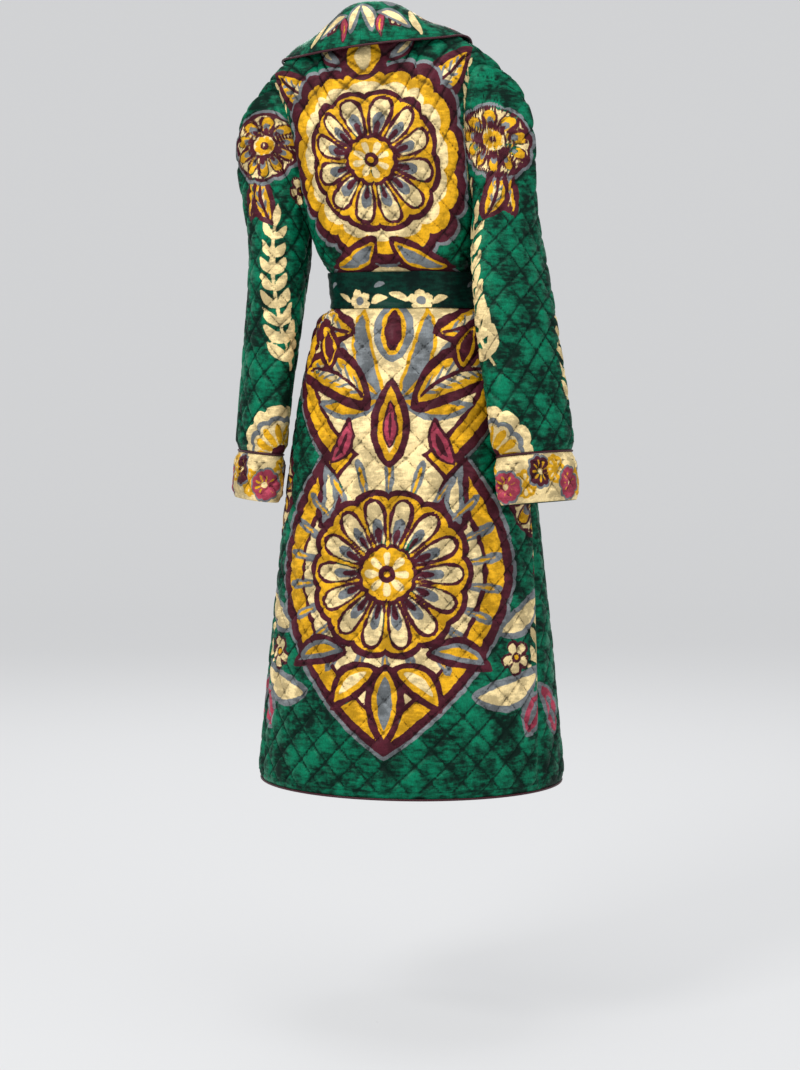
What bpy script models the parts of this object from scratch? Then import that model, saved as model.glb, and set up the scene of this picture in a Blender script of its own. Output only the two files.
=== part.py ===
"""Quilted velvet robe coat in its worn form, hollow and open at neck, cuffs and hem.

Metres, +Z up. The front of the coat faces -Y and the wearer's left is +X. The origin is the
middle of the neck at its base. Each panel is a flat pattern (u across, v up the cloth) that
is cut into triangles along its quilting and laid onto the worn form by a smooth map.
"""
import bpy
import numpy as np
from mathutils.geometry import delaunay_2d_cdt

# Cloth and quilting
STITCHED_WALL = 0.0025      # wall at a stitch line
PUFF = 0.0045               # how far a diamond's middle rises above its stitches
FULL_WALL = STITCHED_WALL + PUFF
DIAMOND_WIDE = 0.047        # a diamond from side to side
DIAMOND_HIGH = 0.0485       # a diamond from top to bottom
STEP_U = DIAMOND_WIDE / 2
STEP_V = DIAMOND_HIGH / 2
SEAM_GAP = 0.0003
RIM_LEAN = np.array([0.31, 0.52, 0.80])     # direction that picks the diagonal of a rim's quad
EDGE_CLEAR = 0.010          # lattice points stay this far inside a panel's edge
PUFF_FADE = 0.022           # the puffs grow from nothing at a seam over this distance

# Body of the coat: outer sizes at each level
TORSO_COLUMNS = ("z", "centre_x", "half_width", "back_depth", "front_depth", "seam_angle")
TORSO = (
    (-1.100, -0.055, 0.2430, 0.212, 0.205, 66),     # hem
    (-0.900, -0.055, 0.2235, 0.192, 0.186, 73),     # lower skirt
    (-0.700, -0.055, 0.2030, 0.172, 0.168, 81),     # thigh
    (-0.550, -0.054, 0.1820, 0.152, 0.152, 85),     # hip
    (-0.455, -0.052, 0.1620, 0.131, 0.138, 87),     # high hip
    (-0.395, -0.050, 0.1440, 0.110, 0.122, 88),     # under the belt
    (-0.365, -0.047, 0.1190, 0.086, 0.101, 88),     # lower edge of the belt
    (-0.340, -0.044, 0.1170, 0.083, 0.098, 88),     # middle of the belt
    (-0.317, -0.042, 0.1175, 0.086, 0.100, 88),     # upper edge of the belt
    (-0.298, -0.039, 0.1220, 0.102, 0.113, 88),     # blouse that hangs over the belt
    (-0.270, -0.035, 0.1310, 0.112, 0.123, 88),     # under the arm
    (-0.235, -0.030, 0.1370, 0.116, 0.126, 88),     # bottom of the armhole
)
BELT_Z = -0.340
ARMPIT_Z = TORSO[-1][0]
LEAN = TORSO[-1][1] / ARMPIT_Z      # sideways lean of the upper body, per metre of height
TILT = -0.108                       # slope of the shoulders, lower on the wearer's left

# Shoulders and neck, before lean and tilt
NECK_U = 0.085                      # pattern distance from the centre to the neck point
SHOULDER_LINE = ((0.072, -0.004, 0.052), (0.105, -0.004, 0.044), (0.140, -0.002, 0.0225),
                 (0.174, 0.000, -0.008), (0.200, 0.002, -0.041), (0.214, 0.002, -0.080))
TIP_INDEX = 4                       # the shoulder line's point at the armhole
NAPE = (0.0, 0.058, 0.040)
THROAT = (0.0, -0.085, -0.010)
BACK_ARMHOLE = ((1.00, None), (0.80, 0.192), (0.55, 0.166), (0.30, 0.158), (0.10, 0.166))
FRONT_ARMHOLE = ((1.00, None), (0.78, 0.190), (0.50, 0.160), (0.30, 0.156), (0.10, 0.172))
ARMHOLE_STEPS = 12                  # edges on each of the back and front armholes

# Fronts
OVERLAP = 0.060                     # each front passes the centre by this much
LAYER = 0.0070                      # the right front lies this much further out over the left
V_BOTTOM_Z = -0.325                 # where the crossed neck edges end, at the belt

# Gathers that the belt makes
GATHERS = 18                        # round the waist
GATHER_DEPTH = 0.0035
GATHER_BELOW = 0.105
GATHER_ABOVE = 0.050

# Sleeves: outer sizes of each section, from the arm's top to the cuff's edge
# Columns: x, y, z, long half width, short half width, turn of the long way in degrees
SLEEVE_LEFT = (
    (0.153, 0.008, -0.300, 0.072, 0.049, 12),
    (0.162, 0.018, -0.400, 0.070, 0.044, 24),
    (0.172, 0.026, -0.500, 0.071, 0.039, 30),
    (0.179, 0.030, -0.590, 0.071, 0.037, 32),
    (0.186, 0.033, -0.670, 0.072, 0.036, 32),
)
SLEEVE_RIGHT = (
    (-0.213, 0.022, -0.300, 0.078, 0.045, 25),
    (-0.232, 0.060, -0.400, 0.074, 0.043, 40),
    (-0.250, 0.078, -0.500, 0.075, 0.039, 42),
    (-0.263, 0.086, -0.585, 0.075, 0.037, 42),
    (-0.272, 0.092, -0.665, 0.075, 0.036, 42),
)
CUFF_HIGH = 0.080
SLEEVE_AROUND = 16

# Collar: stand and fall along the neck, from the nape to the front's end
COLLAR_WALL = 0.0030
COLLAR_CLEAR = 0.0045
COLLAR_SEAM = 0.0009                # gap between the neck edge and the collar
COLLAR_ROLL = 0.0085                # radius of the fold
COLLAR_LIFT = 0.006                 # how far the fall bows out between fold and edge
COLLAR_EASING = 8                   # rounds of smoothing along the neck
COLLAR_TAPER = 0.6                  # share of the fall's width that is gone at its ends
NECK_BACK_STEPS = 5                 # edges of half the back's neck
# Columns: place (0 nape, 1 neck point, 2 end of the front neck edge), stand, fall
COLLAR = (
    (0.00, 0.050, 0.080),           # nape
    (1.00, 0.044, 0.080),           # neck point on the shoulder
    (1.25, 0.030, 0.086),
    (1.60, 0.016, 0.080),           # chest
    (2.00, 0.009, 0.060),
)
COLLAR_EDGE = ((0.0, 0.092, 0.030), (0.045, 0.086, 0.031), (0.090, 0.062, 0.032),
               (0.127, 0.030, 0.032), (0.148, -0.006, 0.030))
COLLAR_END_U = {1: 0.018, -1: -0.040}   # pattern distance at which each collar ends

# Piping, belt and knot
PIPE_RADIUS = 0.00175
PIPE_SEAM = 0.0006                  # gap between the collar's edge and its piping
PIPE_STEPS = 16                     # pieces of the piping round a cuff
BELT_HIGH = 0.055
BELT_WALL = 0.0030
BELT_CLEAR = 0.0019
BELT_END = 0.38
KNOT_HALF = (0.021, 0.014, 0.029)

COLOURS = {
    "velvet": (0.010, 0.150, 0.085, 1.0),
    "belt": (0.008, 0.090, 0.055, 1.0),
    "piping": (0.060, 0.008, 0.016, 1.0),
}


def smooth_rows(rows, per_step=20):
    """Catmull-Rom curve through the rows of a table, as one dense array."""
    p = np.asarray(rows, float)
    ext = np.vstack([2 * p[0] - p[1], p, 2 * p[-1] - p[-2]])
    t = np.linspace(0, 1, per_step, endpoint=False)[:, None]
    out = []
    for k in range(len(p) - 1):
        a, b, c, d = ext[k:k + 4]
        out.append(0.5 * (2 * b + (c - a) * t + (2 * a - 5 * b + 4 * c - d) * t ** 2
                          + (3 * b - a - 3 * c + d) * t ** 3))
    return np.vstack(out + [p[-1:]])


def lengths_along(points):
    """Distance from the first point to each point of a polyline."""
    steps = np.linalg.norm(np.diff(points, axis=0), axis=1)
    return np.concatenate([[0.0], np.cumsum(steps)])


def resample(points, where, lengths=None):
    """Points of a polyline at the given distances along it."""
    along = lengths_along(points) if lengths is None else lengths
    return np.stack([np.interp(where, along, points[:, k]) for k in range(points.shape[1])], -1)


def unit(vectors):
    return vectors / np.linalg.norm(vectors, axis=-1, keepdims=True)


def ease(x):
    """Smooth step from 0 to 1."""
    x = np.clip(x, 0.0, 1.0)
    return x * x * (3 - 2 * x)


LEVELS = smooth_rows(TORSO)
HEIGHTS_V = lengths_along(LEVELS[:, [0, 3]])        # pattern height, from the hem up
ARMPIT_V = HEIGHTS_V[-1]
BELT_V = np.interp(BELT_Z, LEVELS[:, 0], HEIGHTS_V)
BELT_EDGES = tuple(np.interp((BELT_Z - BELT_HIGH / 2, BELT_Z + BELT_HIGH / 2),
                             LEVELS[:, 0], HEIGHTS_V))
RING_ANGLES = np.linspace(0, np.pi + 0.7, 150)


def level(column, v):
    """Value of one torso column at a pattern height, as the inner surface needs it."""
    k = TORSO_COLUMNS.index(column)
    value = np.interp(v, HEIGHTS_V, LEVELS[:, k])
    return value - FULL_WALL if column in ("half_width", "back_depth", "front_depth") else value


def ring(theta, v, out=0.0):
    """Point of the torso at an angle from the back's centre, moved outwards by out."""
    half, centre, z = level("half_width", v), level("centre_x", v), level("z", v)
    depth = np.where(np.cos(theta) > 0, level("back_depth", v), level("front_depth", v))
    return np.stack([centre + (half + out) * np.sin(theta),
                     (depth + out) * np.cos(theta), z + 0 * theta], -1)


def arcs(v):
    """Distance round the ring at height v from the back's centre to each ring angle."""
    return lengths_along(ring(RING_ANGLES, np.full(len(RING_ANGLES), v)))


def seam_arc(v):
    """Distance round the ring from the back's centre to the side seam."""
    return np.interp(np.radians(level("seam_angle", v)), RING_ANGLES, arcs(v))


def half_round(v):
    """Distance round the ring from the back's centre to the front's centre."""
    return np.interp(np.pi, RING_ANGLES, arcs(v))


def gather(theta, v):
    """Radial wave of the gathers, strongest beside the belt and flat under it."""
    below = BELT_EDGES[0] - v
    above = v - BELT_EDGES[1]
    reach = np.where(below > 0, below / GATHER_BELOW, above / GATHER_ABOVE)
    strength = np.where(reach > 0, ease(reach * 5) * (1 - ease(reach)), 0.0)
    uneven = 0.75 + 0.25 * np.sin(3 * theta + 1.0)
    return GATHER_DEPTH * strength * uneven * np.cos(GATHERS * theta)


def lower_point(arc, v, side):
    """Torso point below the armpit, a distance round the ring from the back's centre."""
    theta = np.array([np.interp(a, arcs(w), RING_ANGLES) for a, w in zip(arc, v)])
    point = ring(theta, v, gather(theta, v))
    point[:, 0] = level("centre_x", v) + side * (point[:, 0] - level("centre_x", v))
    return point


def leaned(point):
    """The upper body's sideways lean and shoulder tilt, applied to neck and shoulder points."""
    x, y, z = point.T
    return np.stack([x + LEAN * z, y, z + TILT * x], -1)


SHOULDER = smooth_rows(SHOULDER_LINE)
SHOULDER_LENGTHS = lengths_along(SHOULDER)
TIP_U = NECK_U + SHOULDER_LENGTHS[TIP_INDEX * 20]


def top_line(u, middle):
    """Upper end of the cloth at pattern distance u: the neck's curve, then the shoulder."""
    neck = np.asarray(SHOULDER_LINE[0])
    turn = np.clip(u / NECK_U, -1, 1) * np.pi / 2
    round_neck = np.stack([neck[0] * np.sin(turn),
                           neck[1] + (middle[1] - neck[1]) * np.cos(turn),
                           neck[2] + (middle[2] - neck[2]) * np.cos(turn)], -1)
    shoulder = resample(SHOULDER, np.maximum(u - NECK_U, 0), SHOULDER_LENGTHS)
    return np.where((u > NECK_U)[:, None], shoulder, round_neck)


def upper_curve(u, t, side, back):
    """Cloth above the armpit: a cubic from the armpit ring up to the neck or shoulder."""
    edge = np.full(len(u), ARMPIT_V)
    arc = u if back else half_round(ARMPIT_V) - u
    start = lower_point(arc, edge, side)
    before = lower_point(arc, edge - 0.002, side)
    end = top_line(u, NAPE if back else THROAT)
    end[:, 0] *= side
    end = leaned(end)
    over = ease((u - 0.4 * NECK_U) / (0.9 * NECK_U))[:, None]
    forward = -1.0 if back else 1.0
    rising = np.array([0.0, 0.35 * forward, 0.94])
    level_off = np.array([0.0, forward, 0.0])
    reach = np.linalg.norm(end - start, axis=1)[:, None]
    start_slope = unit(start - before) * reach * 1.05
    end_slope = unit(rising * (1 - over) + level_off * over) * reach * (0.8 - 0.15 * over)
    t = t[:, None]
    return ((2 * t ** 3 - 3 * t ** 2 + 1) * start + (t ** 3 - 2 * t ** 2 + t) * start_slope
            + (3 * t ** 2 - 2 * t ** 3) * end + (t ** 3 - t ** 2) * end_slope)


def upper_heights(back):
    """Pattern height from the armpit to the top line, for a row of pattern distances."""
    us = np.linspace(-OVERLAP - 0.02, TIP_U + 0.03, 60)
    steps = np.linspace(0, 1, 25)
    curves = np.stack([upper_curve(us, np.full(len(us), t), 1, back) for t in steps])
    return us, np.linalg.norm(np.diff(curves, axis=0), axis=2).sum(0)


HEIGHT_TABLE = {True: upper_heights(True), False: upper_heights(False)}


def upper_height(u, back):
    return np.interp(u, *HEIGHT_TABLE[back])


def layer_out(u, t):
    """How far the right front stands off the left one where it covers it."""
    return LAYER * (1 - ease((u - OVERLAP - 0.03) / 0.04)) * (1 - ease((t - 0.45) / 0.4))


def body_point(u, v, side, back, outer_layer=False):
    """Inner surface of the back or a front. u runs from the centre towards its side."""
    u, v = np.asarray(u, float), np.asarray(v, float)
    point = np.zeros((len(u), 3))
    low = v <= ARMPIT_V
    if back:
        turned = np.where(u < 0, -1.0, 1.0)
        width = np.abs(u)
        for sign in (1.0, -1.0):
            pick = low & (turned == sign)
            if pick.any():
                point[pick] = lower_point(width[pick], v[pick], sign)
            pick = ~low & (turned == sign)
            if pick.any():
                t = (v[pick] - ARMPIT_V) / upper_height(width[pick], True)
                point[pick] = upper_curve(width[pick], t, sign, True)
        return point
    if low.any():
        arc = np.array([half_round(w) for w in v[low]]) - u[low]
        point[low] = lower_point(arc, v[low], side)
    t = np.where(low, 0.0, (v - ARMPIT_V) / upper_height(u, False))
    if (~low).any():
        point[~low] = upper_curve(u[~low], t[~low], side, False)
    if outer_layer:
        middle = np.array([0.0, 0.02, 0.0])
        away = point - middle
        away[:, 0] -= level("centre_x", np.minimum(v, ARMPIT_V))
        away[:, 2] = 0.0
        point = point + unit(away) * layer_out(u, t)[:, None]
    return point


def surface(point_of, uv, sign, step=4e-4):
    """Points and outward unit normals of a mapped surface, by central differences."""
    u, v = uv[:, 0], uv[:, 1]
    across = point_of(u + step, v) - point_of(u - step, v)
    along = point_of(u, v + step) - point_of(u, v - step)
    return point_of(u, v), unit(np.cross(across, along)) * sign


def quilt_height(uv):
    """0 on the stitch lines and 1 in the middle of each diamond, straight in between."""
    a, b = uv[:, 0] / STEP_U, uv[:, 1] / STEP_V
    rising = 1 - np.abs((a + b) % 2 - 1)
    falling = 1 - np.abs((a - b) % 2 - 1)
    return np.minimum(rising, falling)


def edge_distance(uv, outline):
    """Distance from each pattern point to the nearest edge of a closed outline."""
    best = np.full(len(uv), 9.0)
    for a, b in zip(outline, np.roll(outline, -1, axis=0)):
        run = b - a
        t = np.clip((uv - a) @ run / (run @ run), 0, 1)
        best = np.minimum(best, np.linalg.norm(uv - a - t[:, None] * run, axis=1))
    return best


def inside(uv, outline):
    """Which pattern points lie inside a closed outline."""
    hit = np.zeros(len(uv), bool)
    for a, b in zip(outline, np.roll(outline, -1, axis=0)):
        if a[1] != b[1]:
            crosses = (a[1] > uv[:, 1]) != (b[1] > uv[:, 1])
            hit ^= crosses & (uv[:, 0] < a[0] + (uv[:, 1] - a[1]) / (b[1] - a[1]) * (b[0] - a[0]))
    return hit


def cut_pattern(outline, fine_rows=None, pinch_rows=(), plain_below=None):
    """Pattern points and triangles: the outline, the quilting lattice and its stitch lines.

    Between fine_rows the columns are twice as close, for the gathers. A pinch row is a line
    across the cloth at a belt edge, which no stitch line crosses. The plain inner side of the
    wall has only the stitch crossings below the height plain_below.
    """
    low = np.floor(outline.min(0) / (STEP_U, STEP_V)).astype(int)
    high = np.ceil(outline.max(0) / (STEP_U, STEP_V)).astype(int)
    nodes = {}
    points = [tuple(p) for p in outline]
    grid = [(i, j) for j in range(low[1], high[1] + 1) for i in range(low[0], high[0] + 1)]
    places = np.array(grid) * (STEP_U, STEP_V)
    keep = inside(places, outline) & (edge_distance(places, outline) > EDGE_CLEAR)
    for row in pinch_rows:
        keep &= np.abs(places[:, 1] - row) > 0.006
    if plain_below is not None:
        keep &= (np.array(grid).sum(1) % 2 == 0) | (places[:, 1] > plain_below)
    for cell, place, kept in zip(grid, places, keep):
        if kept:
            nodes[cell] = len(points)
            points.append(tuple(place))
    stitches = [(nodes[i, j], nodes[i + s, j + 1]) for i, j in nodes for s in (-1, 1)
                if (i + j) % 2 == 0 and (i + s, j + 1) in nodes
                and not any(j * STEP_V < row < (j + 1) * STEP_V for row in pinch_rows)]
    if fine_rows is not None:
        extra = [((i + 0.5) * STEP_U, j * STEP_V) for i, j in nodes
                 if fine_rows[0] < j * STEP_V < fine_rows[1] and (i + 1, j) in nodes]
        points.extend(extra)
    for row in pinch_rows:
        line = np.arange(low[0], high[0] + 0.5, 0.5) * STEP_U
        line = np.stack([line, np.full(len(line), row)], -1)
        clear = inside(line, outline) & (edge_distance(line, outline) > 0.006)
        points.extend(tuple(p) for p in line[clear])
    ring_face = [list(range(len(outline)))]
    verts, _, faces, *_ = delaunay_2d_cdt(points, stitches, ring_face, 1, 1e-7)
    return np.array([tuple(p) for p in verts]), np.array([list(f) for f in faces])


def open_edges(faces):
    """Directed edges that belong to one triangle only."""
    edges = np.vstack([faces[:, [0, 1]], faces[:, [1, 2]], faces[:, [2, 0]]])
    known = {tuple(e) for e in edges.tolist()}
    return [e for e in edges.tolist() if (e[1], e[0]) not in known]


def add_solid(name, points, faces, colour):
    """One named object from points and faces, with its own material."""
    mesh = bpy.data.meshes.new(name)
    mesh.from_pydata([tuple(p) for p in points], [], [list(f) for f in faces])
    mesh.update()
    shown = bpy.data.objects.new(name, mesh)
    material = bpy.data.materials.new(name)
    material.use_nodes = True
    shader = material.node_tree.nodes["Principled BSDF"]
    shader.inputs["Base Color"].default_value = COLOURS[colour]
    shader.inputs["Roughness"].default_value = 0.75
    shader.inputs["Metallic"].default_value = 0.0
    mesh.materials.append(material)
    mesh.shade_smooth()
    mesh.set_sharp_from_angle(angle=0.9)
    COAT.objects.link(shown)
    return shown


def add_wall(name, inner, outer, faces, colour, inner_faces=None):
    """Closed wall between an inner and an outer side, whose edge points have the same places.

    The two sides share their triangles, unless inner_faces gives the inner side its own.
    """
    n = len(inner)
    plain = faces if inner_faces is None else inner_faces
    rim = []
    for a, b in open_edges(faces):
        if inner[a] @ RIM_LEAN > inner[b] @ RIM_LEAN:
            rim += [(b + n, a + n, a), (b + n, a, b)]
        else:
            rim += [(b + n, a + n, b), (a + n, a, b)]
    both = np.vstack([faces + n, plain[:, ::-1], np.array(rim)])
    return add_solid(name, np.vstack([inner, outer]), both, colour)


def wall_points(uv, base, normal, outline_count, outline, shifts, offsets, quiet):
    """Inner and outer points: seam edges are parted, and the quilting rises on the outside."""
    inner = base.copy()
    inner[:outline_count] += shifts
    fade = ease((edge_distance(uv, outline) - 0.003) / PUFF_FADE)
    rise = STITCHED_WALL + PUFF * quilt_height(uv) * fade * quiet
    outer = inner + normal * rise[:, None]
    outer[:outline_count] = inner[:outline_count] + offsets
    return inner, outer


def inward_shifts(point_of, outline, moved):
    """Half a seam gap, inwards in the cloth, for each outline edge that is a seam."""
    size = len(outline)
    shift = np.zeros((size, 3))
    area = np.sum(outline[:, 0] * np.roll(outline[:, 1], -1)
                  - np.roll(outline[:, 0], -1) * outline[:, 1])
    turn = 1.0 if area > 0 else -1.0
    for k in range(size):
        for first in (k - 1, k):
            if moved[first % size]:
                run = outline[(first + 1) % size] - outline[first % size]
                into = np.array([-run[1], run[0]]) / np.hypot(*run) * turn
                near = outline[k] + into * 1e-3
                step = point_of(near[:1], near[1:]) - point_of(outline[k, :1], outline[k, 1:])
                shift[k] += unit(step)[0] * SEAM_GAP / 2
    return shift


def side_rows():
    """Pattern heights of the points that the side seams share, with one at each belt edge."""
    rows = np.linspace(0, ARMPIT_V, int(round(ARMPIT_V / STEP_V)) + 1)
    for pinch in (BELT_EDGES[0], BELT_V, BELT_EDGES[1]):
        rows[np.argmin(np.abs(rows - pinch))] = pinch
    return rows


def armhole_pattern(back):
    """Pattern points of the armhole from the shoulder tip to the underarm."""
    rows = BACK_ARMHOLE if back else FRONT_ARMHOLE
    under = seam_arc(ARMPIT_V) if back else half_round(ARMPIT_V) - seam_arc(ARMPIT_V)
    named = [(TIP_U if u is None else u, t) for t, u in rows] + [(under, 0.0)]
    dense = smooth_rows(named)
    v = ARMPIT_V + dense[:, 1] * upper_height(dense[:, 0], back)
    place = body_point(dense[:, 0], v, 1, back)
    where = lengths_along(place)
    steps = np.linspace(0, where[-1], ARMHOLE_STEPS + 1)
    return resample(np.stack([dense[:, 0], v], -1), steps, where)


def evenly(a, b, spacing):
    """Points from a towards b, without b, about spacing apart."""
    count = max(1, int(round(np.linalg.norm(np.subtract(b, a)) / spacing)))
    return [tuple(np.add(a, np.subtract(b, a) * k / count)) for k in range(count)]


def back_outline():
    """Half of the back's outline from the hem's centre round to the nape, then mirrored."""
    rows = side_rows()
    hem = evenly((0.0, 0.0), (seam_arc(0.0), 0.0), STEP_U)
    seam = [(seam_arc(v), v) for v in rows[:-1]]
    armhole = [tuple(p) for p in armhole_pattern(True)[::-1]]
    shoulder_u = np.linspace(TIP_U, NECK_U, 7)
    neck_u = np.linspace(NECK_U, 0, NECK_BACK_STEPS + 1)
    top = [(u, ARMPIT_V + upper_height(u, True)) for u in np.append(shoulder_u[1:], neck_u[1:])]
    marks = (["hem"] * len(hem) + ["seam"] * len(seam) + ["armhole"] * (len(armhole) - 1)
             + ["seam"] * 6 + ["neck"] * NECK_BACK_STEPS)
    half = hem + seam + armhole + top
    mirrored = [(-u, v) for u, v in half[-2:0:-1]]
    marks_back = [m for m in marks[::-1]]
    return np.array(half + mirrored), marks + marks_back


def front_outline():
    """A front's outline from the hem at the front edge round by the side to the neck edge."""
    rows = side_rows()
    wide = [half_round(v) - seam_arc(v) for v in rows]
    hem = evenly((-OVERLAP, 0.0), (wide[0], 0.0), STEP_U)
    seam = list(zip(wide[:-1], rows[:-1]))
    armhole = [tuple(p) for p in armhole_pattern(False)[::-1]]
    shoulder = [(u, ARMPIT_V + upper_height(u, False)) for u in np.linspace(TIP_U, NECK_U, 7)]
    v_low = np.interp(V_BOTTOM_Z, LEVELS[:, 0], HEIGHTS_V)
    neck = evenly(shoulder[-1], (-OVERLAP, v_low), STEP_U)
    edge = [(-OVERLAP, v_low)] + [(-OVERLAP, v) for v in rows[:0:-1] if v < v_low - 0.008]
    marks = (["hem"] * len(hem) + ["seam"] * len(seam) + ["armhole"] * (len(armhole) - 1)
             + ["seam"] * 6 + ["neck"] * len(neck) + ["edge"] * len(edge))
    return np.array(hem + seam + armhole + shoulder[1:-1] + neck + edge), marks


class Armhole:
    """One armhole: its points from the tip by the back to the underarm and up the front."""

    def __init__(self, side):
        self.side = side
        self.back = armhole_pattern(True)
        self.front = armhole_pattern(False)
        back_uv = self.back * (side, 1.0)
        back_at, back_n = surface(lambda u, v: body_point(u, v, 1, True), back_uv, -1.0)
        front_at, front_n = surface(lambda u, v: body_point(u, v, side, False),
                                    self.front, side)
        self.points = np.vstack([back_at, front_at[-2:0:-1]])
        joined = np.vstack([back_n, front_n[-2:0:-1]])
        joined[0] = back_n[0] + front_n[0]
        joined[ARMHOLE_STEPS] = back_n[-1] + front_n[-1]
        self.torso_normal = unit(joined)

    def at(self, phase):
        """Armhole point at a phase from 0 to 1 round the arm."""
        closed = np.vstack([self.points, self.points[:1]])
        place = (np.asarray(phase) % 1.0) * (2 * ARMHOLE_STEPS)
        ks = np.arange(2 * ARMHOLE_STEPS + 1)
        return np.stack([np.interp(place, ks, closed[:, k]) for k in range(3)], -1)


class Sleeve:
    """A sleeve's map from pattern (u round the arm, v up from the cuff seam) to its form."""

    def __init__(self, rows, side, armhole):
        self.side, self.armhole = side, armhole
        self.rows = smooth_rows(rows)[::-1]
        self.along = lengths_along(self.rows[:, :3])
        self.top_v = self.along[-1] - CUFF_HIGH
        self.round = SLEEVE_AROUND * STEP_U
        phases = np.linspace(0, 1, 2 * ARMHOLE_STEPS + 1)
        curve = np.stack([self.cap(phases, np.full(len(phases), t))
                          for t in np.linspace(0, 1, 25)])
        self.caps = np.linalg.norm(np.diff(curve, axis=0), axis=2).sum(0)
        self.phases = phases

    def section(self, phase, v):
        """Point of the flattened tube: even steps round an ellipse across the arm."""
        phase, v = np.broadcast_arrays(np.asarray(phase, float), np.asarray(v, float))
        place = v + CUFF_HIGH
        row = resample(self.rows, place, self.along)
        axis = unit(resample(self.rows[:, :3], place + 0.02, self.along)
                    - resample(self.rows[:, :3], place - 0.02, self.along))
        angle = np.radians(row[:, 5])
        long_way = np.stack([self.side * np.sin(angle), -np.cos(angle), 0 * angle], -1)
        long_way = unit(long_way - (long_way * axis).sum(1)[:, None] * axis)
        short_way = np.cross(axis, long_way) * self.side
        turns = np.linspace(0, 2 * np.pi, 97)
        point = np.zeros((len(v), 3))
        for k in range(len(v)):
            a, b = row[k, 3] - FULL_WALL, row[k, 4] - FULL_WALL
            loop = np.stack([-a * np.sin(turns), b * np.cos(turns)], -1)
            spot = resample(loop, [(phase[k] % 1.0) * lengths_along(loop)[-1]])[0]
            point[k] = row[k, :3] + long_way[k] * spot[0] + short_way[k] * spot[1]
        return point

    def cap(self, phase, t):
        """Cubic from the arm's top section up to the armhole."""
        top = np.full(len(phase), self.top_v)
        start = self.section(phase, top)
        rise = unit(start - self.section(phase, top - 0.004))
        end = self.armhole.at(phase)
        under = 0.5 - 0.5 * np.cos(2 * np.pi * phase)
        outward = np.stack([-self.side * (0.75 - 0.20 * under), 0 * under,
                            0.62 + 0.20 * under], -1)
        reach = np.linalg.norm(end - start, axis=1)[:, None]
        t = t[:, None]
        return ((2 * t ** 3 - 3 * t ** 2 + 1) * start
                + (t ** 3 - 2 * t ** 2 + t) * rise * reach
                + (3 * t ** 2 - 2 * t ** 3) * end
                + (t ** 3 - t ** 2) * unit(outward) * reach * 0.9)

    def cap_height(self, phase):
        return np.interp(np.asarray(phase) % 1.0, self.phases, self.caps)

    def point(self, u, v):
        u, v = np.asarray(u, float), np.asarray(v, float)
        phase = u / self.round
        t = (v - self.top_v) / self.cap_height(phase)
        out = np.zeros((len(u), 3))
        low = t <= 0
        if low.any():
            out[low] = self.section(phase[low], v[low])
        if (~low).any():
            out[~low] = self.cap(phase[~low], t[~low])
        return out


def mitre(first, second):
    """Shared slant of two walls that meet at a seam, from their outward normals."""
    both = first + second
    slant = STITCHED_WALL * both / (1 + (first * second).sum(-1, keepdims=True))
    size = np.linalg.norm(slant, axis=-1, keepdims=True)
    return slant * np.minimum(1.0, 4.2 * STITCHED_WALL / size)


def armhole_joint(sleeve):
    """Parting shifts, wider at the tip and the underarm, and the shared slant of each point."""
    hole = sleeve.armhole
    n = len(hole.points)
    phase = np.arange(n) / n
    edge = sleeve.cap(phase, np.full(n, 1.0))
    inner = sleeve.cap(phase, np.full(n, 0.985))
    into_sleeve = unit(inner - edge)
    tangent = unit(np.roll(hole.points, -1, axis=0) - np.roll(hole.points, 1, axis=0))
    sleeve_normal = unit(np.cross(tangent, -into_sleeve)) * hole.side
    into_sleeve = unit(np.cross(tangent, sleeve_normal)) * hole.side
    into_torso = unit(np.cross(hole.torso_normal, tangent)) * hole.side
    wider = 1 + 7 * np.cos(2 * np.pi * phase[:, None]) ** 8
    apart = unit(into_torso - into_sleeve) * wider * SEAM_GAP / 2
    return apart, mitre(hole.torso_normal, sleeve_normal)


def quiet_belt(uv):
    """The quilting is pressed flat under the belt."""
    off = np.maximum(BELT_EDGES[0] - uv[:, 1], uv[:, 1] - BELT_EDGES[1])
    return ease(off / 0.03)


def panel(name, outline, marks, point_of, sign, joints, quiet_of):
    """One quilted panel: cut, laid on the form and given its wall."""
    gathered = (BELT_EDGES[0] - GATHER_BELOW, BELT_EDGES[1] + GATHER_ABOVE)
    uv, faces = cut_pattern(outline, gathered, (BELT_EDGES[0], BELT_V, BELT_EDGES[1]))
    base, normal = surface(point_of, uv, sign)
    shifts = inward_shifts(point_of, outline, [m == "seam" for m in marks])
    offsets = normal[:len(outline)] * STITCHED_WALL
    for k, apart, slant in joints:
        shifts[k] += apart
        offsets[k] = slant
    inner, outer = wall_points(uv, base, normal, len(outline), outline, shifts, offsets,
                               quiet_of(uv))
    plain_uv, plain_faces = cut_pattern(outline, None, (BELT_EDGES[0], BELT_V, BELT_EDGES[1]),
                                        gathered[0])
    plain = point_of(plain_uv[:, 0], plain_uv[:, 1])
    plain[:len(outline)] = inner[:len(outline)]
    if sign < 0:
        faces, plain_faces = faces[:, ::-1], plain_faces[:, ::-1]
    add_wall(name, plain, outer, faces, "velvet", plain_faces)


def joint_rows(outline, pattern, mirror, joint, ks):
    """Outline index, shift and slant for each armhole point on a panel."""
    apart, slant = joint
    rows = []
    for place, k in zip(pattern * (mirror, 1.0), ks):
        index = int(np.argmin(np.linalg.norm(outline - place, axis=1)))
        rows.append((index, apart[k], slant[k]))
    return rows


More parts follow.
